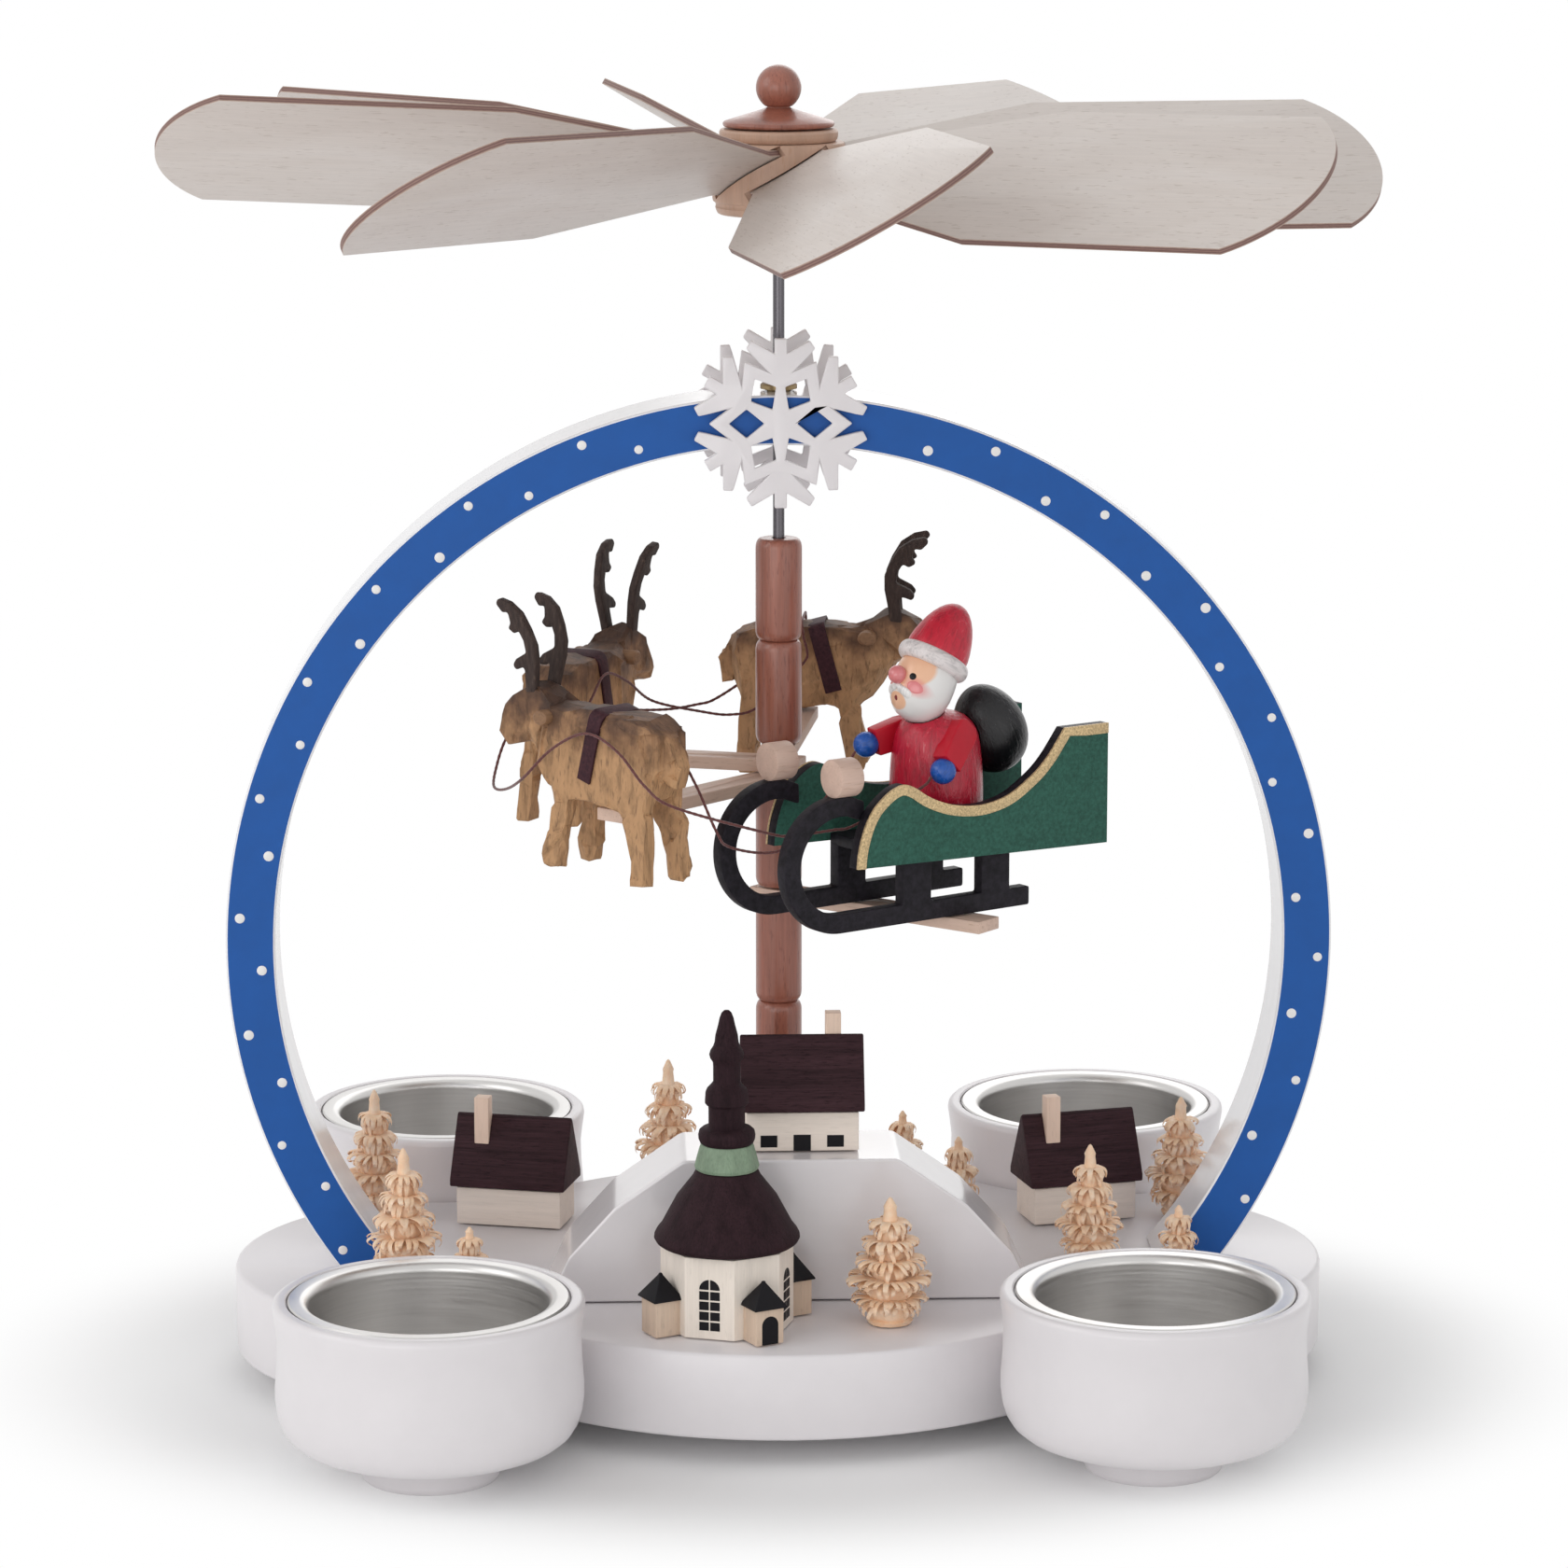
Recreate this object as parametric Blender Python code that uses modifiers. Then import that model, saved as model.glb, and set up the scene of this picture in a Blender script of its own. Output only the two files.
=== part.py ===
"""Candle-driven christmas pyramid: a lobed base with four candle cups, a round arch, a small village,
and a rotor with eight blades that carries three reindeer and a sleigh around a central shaft.

Metres, +Z up, origin on the table under the shaft, front of the object towards -Y."""

import bpy
import bmesh
from math import asin, atan2, ceil, cos, pi, radians, sin, sqrt, tan
from mathutils import Matrix, Vector

MM = 0.001
GAP = 0.3 * MM                      # left between neighbouring pieces
CUTTER_OVERRUN = 2.0 * MM           # how far a cutter sticks out of what it cuts

# Arch
ARCH_CENTRE_Z = 77.5 * MM
ARCH_INNER_R = 88.1 * MM
ARCH_WIDTH = 8.6 * MM
ARCH_OUTER_R = ARCH_INNER_R + ARCH_WIDTH
ARCH_DEPTH = 16.0 * MM
ARCH_TOP = ARCH_CENTRE_Z + ARCH_OUTER_R

# Base board: a disc with a lobe on each side that reaches just short of the arch
BASE_BOTTOM = 4.5 * MM
BASE_THICK = 15.0 * MM
BASE_TOP = BASE_BOTTOM + BASE_THICK
BASE_DISC_R = 62.0 * MM
LOBE_R = 42.5 * MM
LOBE_SHORT = 0.2 * MM
LOBE_X = ARCH_OUTER_R - LOBE_SHORT - LOBE_R

# Candle cups and their metal inserts
CUP_X = 60.5 * MM
CUP_Y = 63.4 * MM
CUP_RIM_R = 26.0 * MM
CUP_HEIGHT = 30.8 * MM
CUP_FOOT_R = 11.5 * MM
CUP_FOOT_H = 4.7 * MM
CUP_SIDE = (
    (0.0, 0.0), (0.7, 6.0), (0.3, 14.5), (0.6, 19.0), (1.9, 22.4), (4.6, 24.4), (9.0, 25.5), (13.0, 25.9),
)
INSERT_R = 20.8 * MM
INSERT_WALL = 0.8 * MM
INSERT_FLANGE_R = 23.4 * MM
INSERT_DEPTH = 15.0 * MM

# Snowflakes at the top of the arch
FLAKE_DROP = 4.7 * MM               # of its middle below the top of the arch
FLAKE_R = 14.6 * MM
FLAKE_THICK = 1.5 * MM
FLAKE_BAR = 2.1 * MM
FLAKE_HOLE_NEAR = 2.8 * MM
FLAKE_HOLE_FAR = 8.9 * MM
FLAKE_HOLE_HALF = 2.5 * MM
FLAKE_VALLEY_R = 12.3 * MM
FLAKE_BRANCH_AT = 10.2 * MM
FLAKE_BRANCH_REACH = 5.0 * MM

# Shaft and its two bearings
SHAFT_R = 1.0 * MM
SHAFT_POINT = 2.0 * MM
BUSH_WALL = 0.7 * MM
BUSH_FLANGE_R = 3.2 * MM
BUSH_FLANGE_H = 0.9 * MM
PIVOT_R = 4.0 * MM
PIVOT_H = 4.5 * MM
PIVOT_POCKET_DEPTH = 3.2 * MM
PIVOT_EDGE = 0.8 * MM
SHAFT_BOTTOM = BASE_TOP + GAP + PIVOT_H - PIVOT_POCKET_DEPTH + GAP

# Pole beads and the arms that are stacked between them
BEAD_R = 4.05 * MM
BEAD_NECK_R = 3.1 * MM
BEAD_ROUND = 1.7 * MM
BEAD_PITCH = 18.2 * MM
POLE_TOP = 148.7 * MM
ARM_PITCH = 2.45 * MM
ARM_THICK = ARM_PITCH - GAP
ARM_WIDTH = 6.0 * MM
ARM_INNER_END = 4.2 * MM
UPPER_BEAD_COUNT = 2
MIDDLE_BEAD_COUNT = 1
LOWER_BEAD_COUNT = 3
REINDEER_LEVEL = POLE_TOP - UPPER_BEAD_COUNT * BEAD_PITCH
MIDDLE_LEVEL = REINDEER_LEVEL - 3 * ARM_PITCH
SLEIGH_LEVEL = MIDDLE_LEVEL - MIDDLE_BEAD_COUNT * BEAD_PITCH
LOWER_LEVEL = SLEIGH_LEVEL - ARM_PITCH

# Reindeer team, front one first, each an arm lower than the last: azimuth and radius of the belly,
# heading, size of the carving and how far the strap lies ahead of the body's middle
TEAM = (
    {"name": "reindeer_front", "azimuth": 81.5, "radius": 35.5 * MM, "heading": -6.0, "size": 0.95,
     "strap": 4.1 * MM},
    {"name": "reindeer_middle", "azimuth": 163.0, "radius": 37.2 * MM, "heading": 64.0, "size": 1.0,
     "strap": 1.8 * MM},
    {"name": "reindeer_rear", "azimuth": -131.8, "radius": 42.4 * MM, "heading": 134.0, "size": 1.0,
     "strap": 1.2 * MM},
)
ARM_PAST_BELLY = 2.2 * MM
BELLY_ON_ARM = 1.0 * MM             # belly point ahead of the body's middle
REINDEER_HALF = 4.7 * MM
HEAD_HALF = 3.2 * MM
LEG_THICK = 2.8 * MM
LEG_SPLAY = 5.0
TAIL_THICK = 3.2 * MM
ANTLER_THICK = 1.4 * MM
ANTLER_HALF_SPACING = 2.2 * MM
ANTLER_SPLAY = 8.0
EAR_R = 1.5 * MM
EAR_REACH = 6.1 * MM
EAR_AT = (14.0, 14.2)
STRAP_WIDTH = 3.0 * MM
STRAP_THICK = 0.5 * MM
STRAP_LEAN = 15.0
STRAP_DROP = 12.4 * MM

# Sleigh, in its own frame: forward, left and up from the top of its arm
SLEIGH_HEADING = 213.4
SLEIGH_OFFSET = 27.8 * MM           # of its middle plane from the shaft, to the left of its heading
SLEIGH_ARM_AZIMUTH = -39.0
SLEIGH_ARM_REACH = 45.0 * MM
RUNNER_HALF_GAUGE = 9.4 * MM
RUNNER_THICK = 2.4 * MM
RUNNER_BAR = 3.3 * MM
RUNNER_CURL_R = 11.7 * MM
RUNNER_CURL_AT = 14.4 * MM
RUNNER_REAR = -25.8 * MM
RUNNER_TOP_END = 9.9 * MM
RUNNER_END_DROP = 2.2 * MM
POST_WIDTH = 6.0 * MM
POST_AT = (-1.6 * MM, -18.5 * MM)
SIDE_THICK = 2.4 * MM
SIDE_LOW_FRONT = 11.3 * MM
SIDE_LOW_REAR = 9.6 * MM
FLOOR_BOTTOM = 10.4 * MM
SIDE_REAR = -40.8 * MM
SIDE_HIGH_REAR = 30.7 * MM
SIDE_FRONT = 13.0 * MM
FLOOR_THICK = 2.0 * MM
FLOOR_FRONT = 1.4 * MM
KNOB_R = 3.3 * MM
KNOB_LENGTH = 4.6 * MM
KNOB_SUNK = 0.2 * MM

# Santa, from the middle of the body's underside, which stands on the sleigh's floor
SANTA_AT = -13.5 * MM
SANTA_BODY_H = 21.3 * MM
SANTA_BODY = (
    (0.0, 1.0), (2.6, 0.99), (4.8, 0.955), (6.3, 0.89), (7.2, 0.80), (7.8, 0.62), (8.1, 0.38), (8.1, 0.18),
    (7.8, 0.0), (0.0, 0.0),
)
HAT_TIP = Vector((-4.2, 0.0, 39.7)) * MM
BEARD_TIP = Vector((5.9, 0.0, 19.9)) * MM
BEARD_LENGTH = 10.2 * MM            # from the underside of the brim
HEAD_R = 5.4 * MM
BRIM_R = 6.4 * MM
NOSE_R = 1.6 * MM
NOSE_DOWN = 3.9 * MM
SLEEVE_WIDTH = 5.2 * MM
SLEEVE_THICK = 3.2 * MM
MITTEN_R = 2.25 * MM
NEAR_SHOULDER = Vector((-1.1, 6.0, 18.5)) * MM
NEAR_MITTEN = Vector((4.9, 8.4, 12.3)) * MM
FAR_SHOULDER = Vector((2.1, -5.4, 17.3)) * MM
FAR_MITTEN = Vector((10.3, -6.4, 15.3)) * MM
SACK_CENTRE = Vector((-11.5, 0.0, 16.9)) * MM
SACK_R = 6.3 * MM
SACK_HALF_LENGTH = 8.2 * MM
SACK_LEAN = 26.0

# Propeller
HUB_BOTTOM = 204.6 * MM
HUB_H = 12.4 * MM
HUB_R = 11.4 * MM
HUB_CEILING = 1.0 * MM              # solid wood left over the shaft's bore
CAP_DISC_H = 2.2 * MM
CAP_DISC_R = 10.2 * MM
CAP_CONE_H = 3.3 * MM
CAP_CONE_R = 9.6 * MM
FINIAL_R = 3.9 * MM
FINIAL_STEM_R = 2.0 * MM
BLADE_COUNT = 8
FIRST_BLADE = 7.8
BLADE_PITCH = 30.0
BLADE_Z = HUB_BOTTOM + 7.4 * MM
BLADE_THICK = 1.2 * MM
BLADE_TIP = 106.5 * MM
BLADE_TIP_ARC = 24.0 * MM
BLADE_ROOT = HUB_R - 2.6 * MM
BLADE_ROOT_HALF = 7.2 * MM
BLADE_SHOULDER = 48.0 * MM
BLADE_HALF = 19.0 * MM
BLADE_LIFTS = (0.0, 0.0, 0.0, 1.0, 3.0, 1.2, 0.6, 1.2)

# Hill and houses
HILL_H = 25.0 * MM
HILL_FRONT = -30.3 * MM
HILL_DEPTH = 20.0 * MM
HILL_X = 1.0 * MM
HILL_PROFILE = ((18.5, 1.0), (30.4, 0.668), (35.2, 0.456), (38.3, 0.32), (42.0, 0.0))
HOUSE_L = 19.4 * MM
HOUSE_W = 10.3 * MM
WALL_H = 6.8 * MM
ROOF_OVERHANG = 1.0 * MM
ROOF_EDGE = 1.3 * MM
ROOF_H = 13.2 * MM
CHIMNEY = 2.7 * MM
CHIMNEY_RISE = 2.8 * MM             # above the ridge
CHIMNEY_FRONT = 2.95 * MM           # ahead of the ridge
CHIMNEY_X = -5.5 * MM
HOUSES = (
    {"name": "house_left", "x": -47.1 * MM, "y": 23.7 * MM, "turn": -14.7},
    {"name": "house_right", "x": 55.2 * MM, "y": 22.9 * MM, "turn": 14.0},
    {"name": "house_hill", "x": HILL_X + 2.2 * MM, "y": HILL_FRONT + HILL_DEPTH / 2.0, "turn": 180.0},
)

# Church
CHURCH_X = -10.4 * MM
CHURCH_Y = -43.0 * MM
CHURCH_TURN = -18.0
CHURCH_FLAT = 21.0 * MM
CHURCH_WALL_H = 14.0 * MM
CHURCH_EAVE_R = 12.4 * MM
CHURCH_ROOF_H = 12.6 * MM
CHURCH_ROOF_TOP_R = 5.2 * MM
COLLAR_H = 4.6 * MM
COLLAR_R = 5.5 * MM
TOWER_PROFILE = (
    (4.6, 0.0), (4.8, 1.2), (4.3, 2.4), (3.1, 2.9), (3.1, 5.6), (3.7, 7.4), (3.3, 9.4), (2.3, 10.4),
    (2.3, 13.6), (2.9, 15.0), (2.3, 16.6), (1.9, 19.0), (1.3, 22.2), (0.8, 23.0), (0.0, 23.2),
)
PORCH_W = 5.2 * MM
PORCH_OUT = 4.6 * MM
PORCH_H = 6.2 * MM
PORCH_ROOF_H = 4.6 * MM
PORCH_AZIMUTHS = (45.0, -45.0, -135.0)

# Trees: place on the base, height and radius
TREES = (
    (17.3, -43.8, 22.0, 7.9), (54.5, -10.2, 22.0, 6.4), (69.8, -14.6, 12.0, 4.3), (74.2, 22.8, 22.0, 6.8),
    (34.0, 28.3, 13.5, 4.5), (24.9, 47.6, 13.5, 4.5), (-18.9, 42.7, 25.0, 6.8), (-72.6, 25.8, 24.0, 6.6),
    (-66.0, -17.6, 24.5, 7.0), (-54.5, -24.0, 12.0, 4.0),
)
TREE_TIER_HEIGHT = 3.4 * MM
TREE_STEM_R = 0.7 * MM

# Reins: one thread from mitten to mitten, past the straps on both sides and over the leader's back.
# Each point is given in mm in the frame of the piece that it is named for.
REIN_R = 0.27 * MM
REIN_STEP = 8.0 * MM                # at most, from point to point of the route
REIN_ROUTE = (
    ("sleigh", (
        (-6.2, 8.3, 24.3), (-4.0, 7.9, 22.4), (8.3, 6.4, 17.4), (12.5, 5.6, 16.8), (20.2, 4.0, 16.5),
        (24.5, 3.4, 17.3),
    )),
    ("reindeer_rear", (
        (-17.0, 4.6, 2.8), (-11.8, 6.4, 5.9), (-5.7, 6.1, 10.4), (0.5, 5.8, 12.8), (5.0, 6.0, 12.4),
        (11.0, 6.6, 9.0), (17.5, 6.8, 3.4),
    )),
    ("rotor", (
        (-47.6, -12.0, 106.6), (-49.8, -3.5, 105.4), (-49.4, 2.5, 107.9),
    )),
    ("reindeer_middle", (
        (-9.6, 8.3, 2.6), (-4.5, 6.5, 8.4), (1.6, 5.8, 12.8), (8.0, 6.1, 10.0), (15.0, 6.6, 5.6),
        (21.0, 7.2, 2.9),
    )),
    ("rotor", (
        (-20.3, 37.0, 111.5), (-13.4, 40.6, 111.8), (-9.8, 41.4, 112.8),
    )),
    ("reindeer_front", (
        (-7.5, 6.4, 5.2), (-1.5, 5.9, 10.4), (1.0, 5.7, 12.6), (1.6, 5.6, 14.4), (1.6, 5.5, 15.8),
        (1.6, 4.8, 16.5), (1.6, 2.8, 16.6), (1.6, 0.0, 16.6), (1.6, -2.8, 16.6), (1.6, -4.8, 16.5),
        (1.6, -5.5, 15.8), (1.9, -5.6, 13.7), (2.5, -5.7, 11.4), (2.4, -5.8, 9.7), (0.2, -6.0, 7.2),
        (-6.3, -6.5, 0.9), (-11.1, -7.6, -0.3), (-16.5, -8.6, 0.4),
    )),
    ("reindeer_middle", (
        (19.0, -6.6, 5.6), (9.5, -6.2, 10.6), (1.6, -5.8, 13.2), (-5.0, -6.2, 10.0), (-11.0, -6.6, 6.0),
        (-16.0, -7.0, 3.4),
    )),
    ("reindeer_rear", (
        (16.0, -6.8, 4.6), (8.0, -6.3, 9.4), (0.8, -5.8, 12.6), (-6.0, -6.4, 9.6), (-10.6, -6.8, 4.2),
        (-14.1, -8.2, -3.6),
    )),
    ("sleigh", (
        (26.6, -4.9, 13.8), (18.6, -5.0, 11.8), (13.8, -5.0, 13.2), (4.0, -6.0, 21.5),
        (-0.9, -6.4, 27.0),
    )),
)


def collection(name):
    found = bpy.data.collections.new(name)
    bpy.context.scene.collection.children.link(found)
    return found


for old in list(bpy.data.objects):
    bpy.data.objects.remove(old, do_unlink=True)
PARTS = collection("christmas_pyramid")
CUTTERS = collection("cutters")


def material(name, colour, roughness, metallic=0.0):
    made = bpy.data.materials.new(name)
    made.use_nodes = True
    shader = made.node_tree.nodes["Principled BSDF"]
    shader.inputs["Base Color"].default_value = (*colour, 1.0)
    shader.inputs["Roughness"].default_value = roughness
    shader.inputs["Metallic"].default_value = metallic
    made.diffuse_color = (*colour, 1.0)
    return made


WHITE = material("white_lacquer", (0.83, 0.82, 0.83), 0.35)
BLUE = material("blue_lacquer", (0.02, 0.11, 0.42), 0.35)
ALUMINIUM = material("brushed_aluminium", (0.62, 0.62, 0.63), 0.35, 1.0)
STEEL = material("shaft_steel", (0.25, 0.26, 0.28), 0.3, 1.0)
BRASS = material("bearing_brass", (0.6, 0.45, 0.2), 0.35, 1.0)
WALNUT = material("red_brown_wood", (0.24, 0.08, 0.045), 0.4)
DARK_ROOF = material("dark_stained_wood", (0.045, 0.018, 0.016), 0.6)
BEECH = material("pale_beech", (0.62, 0.46, 0.34), 0.55)
LIME = material("pale_lime_wood", (0.78, 0.68, 0.56), 0.6)
PLY = material("birch_plywood", (0.52, 0.42, 0.33), 0.55)
SHAVING = material("peach_wood_shaving", (0.85, 0.56, 0.34), 0.6)
SAGE = material("sage_green_paint", (0.3, 0.45, 0.28), 0.5)
CARVED = material("carved_reindeer_wood", (0.35, 0.2, 0.1), 0.65)
ANTLER = material("antler_wood", (0.07, 0.05, 0.04), 0.7)
LEATHER = material("strap_leather", (0.06, 0.02, 0.03), 0.6)
THREAD = material("rein_thread", (0.2, 0.05, 0.035), 0.8)
SLEIGH_BLACK = material("sleigh_black_paint", (0.02, 0.02, 0.024), 0.55)
SLEIGH_GREEN = material("sleigh_green_paint", (0.03, 0.13, 0.08), 0.55)
RED = material("santa_red_lacquer", (0.55, 0.02, 0.04), 0.3)
FACE = material("painted_face", (0.85, 0.5, 0.36), 0.4)
SACK_BLACK = material("sack_black_lacquer", (0.015, 0.015, 0.018), 0.3)
MITTEN_BLUE = material("mitten_blue_lacquer", (0.02, 0.1, 0.45), 0.25)


def axis_empty(name, location=(0.0, 0.0, 0.0), turn=0.0, parent=None):
    empty = bpy.data.objects.new(name, None)
    empty.location = location
    empty.rotation_euler = (0.0, 0.0, radians(turn))
    empty.parent = parent
    PARTS.objects.link(empty)
    return empty


def place(name, data, look, location=(0.0, 0.0, 0.0), rotation=(0.0, 0.0, 0.0), parent=None):
    obj = bpy.data.objects.new(name, data)
    data.materials.append(look)
    obj.location = location
    obj.rotation_euler = rotation
    obj.parent = parent
    PARTS.objects.link(obj)
    return obj


def as_tool(obj):
    for home in list(obj.users_collection):
        home.objects.unlink(obj)
    CUTTERS.objects.link(obj)
    obj.hide_render = True
    obj.display_type = "WIRE"
    return obj


def boolean(obj, tool, operation="DIFFERENCE"):
    step = obj.modifiers.new(operation.lower(), "BOOLEAN")
    step.operation = operation
    step.object = as_tool(tool)
    return obj


def box(name, low, high, look, **where):
    mesh = bpy.data.meshes.new(name)
    shape = bmesh.new()
    bmesh.ops.create_cube(shape, size=1.0)
    size = Vector(high) - Vector(low)
    middle = (Vector(high) + Vector(low)) / 2.0
    stretch = Matrix.Translation(middle) @ Matrix.Diagonal((*size, 1.0))
    bmesh.ops.transform(shape, matrix=stretch, verts=shape.verts)
    shape.to_mesh(mesh)
    shape.free()
    return place(name, mesh, look, **where)


def cylinder(name, radius, low, high, sides, look, **where):
    mesh = bpy.data.meshes.new(name)
    shape = bmesh.new()
    bmesh.ops.create_cone(shape, cap_ends=True, segments=sides, radius1=radius, radius2=radius,
                          depth=high - low)
    bmesh.ops.translate(shape, verts=shape.verts, vec=(0.0, 0.0, (low + high) / 2.0))
    shape.to_mesh(mesh)
    shape.free()
    mesh.shade_smooth()
    mesh.set_sharp_from_angle(angle=radians(30.0))
    return place(name, mesh, look, **where)


def turned(name, profile, steps, look, closed=False, **where):
    """A lathe shape from (radius, height) points. An open profile starts and ends on the axis."""
    mesh = bpy.data.meshes.new(name)
    points = [(radius, 0.0, height) for radius, height in profile]
    edges = [(i, i + 1) for i in range(len(points) - 1)]
    if closed:
        edges.append((len(points) - 1, 0))
    mesh.from_pydata(points, edges, [])
    obj = place(name, mesh, look, **where)
    screw = obj.modifiers.new("turning", "SCREW")
    screw.steps = steps
    screw.render_steps = steps
    screw.use_merge_vertices = True
    screw.merge_threshold = 0.00001
    screw.use_smooth_shade = True
    return obj


def outline_curve(name, outlines, thickness, look, **where):
    """A flat plate in the local XY plane: the first outline is its edge, the others are its holes."""
    curve = bpy.data.curves.new(name, "CURVE")
    curve.dimensions = "2D"
    curve.fill_mode = "BOTH"
    curve.extrude = thickness / 2.0
    for outline in outlines:
        spline = curve.splines.new("POLY")
        spline.points.add(len(outline) - 1)
        for point, (x, y) in zip(spline.points, outline):
            point.co = (x, y, 0.0, 1.0)
        spline.use_cyclic_u = True
    return place(name, curve, look, **where)


def to_mesh(obj):
    """Replace a curve object with a welded mesh object in the same place."""
    bpy.context.view_layer.update()
    graph = bpy.context.evaluated_depsgraph_get()
    mesh = bpy.data.meshes.new_from_object(obj.evaluated_get(graph))
    shape = bmesh.new()
    shape.from_mesh(mesh)
    bmesh.ops.remove_doubles(shape, verts=shape.verts, dist=0.000005)
    bmesh.ops.recalc_face_normals(shape, faces=shape.faces)
    shape.to_mesh(mesh)
    shape.free()
    name = obj.name
    parent = obj.parent
    world = obj.matrix_world.copy()
    bpy.data.objects.remove(obj, do_unlink=True)
    made = bpy.data.objects.new(name, mesh)
    PARTS.objects.link(made)
    made.parent = parent
    made.matrix_world = world
    return made


def plate(name, outlines, thickness, look, **where):
    return to_mesh(outline_curve(name, outlines, thickness, look, **where))


def bevel(obj, width, segments=1):
    step = obj.modifiers.new("edge", "BEVEL")
    step.width = width
    step.segments = segments
    step.limit_method = "ANGLE"
    step.angle_limit = radians(35.0)
    return obj


def arc(centre, radius, start, end, count):
    steps = [start + (end - start) * i / count for i in range(count + 1)]
    return [(centre[0] + radius * cos(a), centre[1] + radius * sin(a)) for a in steps]


def polar(radius, azimuth, height=0.0):
    return Vector((radius * cos(radians(azimuth)), radius * sin(radians(azimuth)), height))


UPRIGHT = (pi / 2.0, 0.0, 0.0)      # turns a plate's XY plane into XZ, facing -Y


# Base, cups and inserts

def cup_places():
    return [(sx * CUP_X, sy * CUP_Y) for sy in (-1.0, 1.0) for sx in (-1.0, 1.0)]


CUP_NAMES = ("front_left", "front_right", "rear_left", "rear_right")


def make_base():
    board = cylinder("base_board", BASE_DISC_R, BASE_BOTTOM, BASE_TOP, 80, WHITE)
    for side in (-1.0, 1.0):
        lobe = cylinder("lobe", LOBE_R, BASE_BOTTOM, BASE_TOP, 60, WHITE, location=(side * LOBE_X, 0.0, 0.0))
        boolean(board, lobe, "UNION")
    for x, y in cup_places():
        low = BASE_BOTTOM - CUTTER_OVERRUN
        high = BASE_TOP + CUTTER_OVERRUN
        bite = cylinder("cup_bite", CUP_RIM_R + GAP, low, high, 48, WHITE, location=(x, y, 0.0))
        boolean(board, bite)


def make_cups():
    recess_r = INSERT_R + GAP
    seat_r = INSERT_FLANGE_R + GAP
    flange = INSERT_WALL + GAP
    floor = CUP_HEIGHT - INSERT_DEPTH - GAP
    outside = [(CUP_RIM_R - inset * MM, CUP_HEIGHT - down * MM) for inset, down in CUP_SIDE]
    outside += [(CUP_FOOT_R, CUP_FOOT_H), (CUP_FOOT_R, 0.0), (0.0, 0.0)]
    inside = [(0.0, floor), (recess_r, floor), (recess_r, CUP_HEIGHT - flange), (seat_r, CUP_HEIGHT - flange),
              (seat_r, CUP_HEIGHT)]
    for name, (x, y) in zip(CUP_NAMES, cup_places()):
        turned("candle_cup_" + name, inside + outside, 26, WHITE, location=(x, y, 0.0))
        make_insert("candle_insert_" + name, x, y)


def make_insert(name, x, y):
    top = CUP_HEIGHT
    bottom = CUP_HEIGHT - INSERT_DEPTH
    inner_r = INSERT_R - INSERT_WALL
    profile = [
        (0.0, bottom + INSERT_WALL), (inner_r, bottom + INSERT_WALL), (inner_r, top),
        (INSERT_FLANGE_R, top), (INSERT_FLANGE_R, top - INSERT_WALL), (INSERT_R, top - INSERT_WALL),
        (INSERT_R, bottom), (0.0, bottom),
    ]
    turned(name, profile, 26, ALUMINIUM, location=(x, y, 0.0))


# Arch, snowflakes and bearings

def make_arch():
    foot = BASE_TOP + GAP - ARCH_CENTRE_Z
    outer_start = asin(foot / ARCH_OUTER_R)
    inner_start = asin(foot / ARCH_INNER_R)
    outer = arc((0.0, ARCH_CENTRE_Z), ARCH_OUTER_R, outer_start, pi - outer_start, 52)
    inner = arc((0.0, ARCH_CENTRE_Z), ARCH_INNER_R, pi - inner_start, inner_start, 52)
    arch = plate("arch", [outer + inner], ARCH_DEPTH, BLUE, rotation=UPRIGHT)
    bore = SHAFT_R + GAP + BUSH_WALL + GAP
    low = ARCH_CENTRE_Z + ARCH_INNER_R - CUTTER_OVERRUN
    boolean(arch, cylinder("bush_bore", bore, low, ARCH_TOP + CUTTER_OVERRUN, 24, BLUE))


def make_bearings():
    inner = SHAFT_R + GAP
    tube = inner + BUSH_WALL
    seat = ARCH_TOP + GAP
    bottom = ARCH_CENTRE_Z + ARCH_INNER_R
    profile = [
        (inner, seat + BUSH_FLANGE_H), (BUSH_FLANGE_R, seat + BUSH_FLANGE_H), (BUSH_FLANGE_R, seat),
        (tube, seat), (tube, bottom), (inner, bottom),
    ]
    turned("shaft_bush", profile, 20, BRASS, closed=True)
    floor = BASE_TOP + GAP
    top = floor + PIVOT_H
    pocket = SHAFT_R + GAP
    cup = [
        (0.0, top - PIVOT_POCKET_DEPTH), (pocket, top - PIVOT_POCKET_DEPTH + SHAFT_POINT), (pocket, top),
        (PIVOT_R - PIVOT_EDGE, top), (PIVOT_R, top - PIVOT_EDGE), (PIVOT_R, floor), (0.0, floor),
    ]
    turned("pivot_bearing", cup, 20, BRASS)


def snowflake_edge():
    """The right half of the arm along +Y, from its tip to the valley beside the next arm."""
    half = FLAKE_BAR / 2.0
    slope = tan(radians(30.0))
    rise = FLAKE_BAR / cos(radians(30.0))
    top_at = FLAKE_BRANCH_AT + rise / 2.0
    low_at = FLAKE_BRANCH_AT - rise / 2.0
    reach = FLAKE_BRANCH_REACH
    return [
        (half, FLAKE_R), (half, top_at + half * slope), (reach, top_at + reach * slope),
        (reach + 0.9 * MM, top_at + reach * slope - 1.4 * MM), (reach, low_at + reach * slope),
        (half + 1.2 * MM, FLAKE_BRANCH_AT - FLAKE_BAR * 0.55),
    ]


def turned_outline(points, turn):
    return [(x * cos(turn) - z * sin(turn), x * sin(turn) + z * cos(turn)) for x, z in points]


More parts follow.
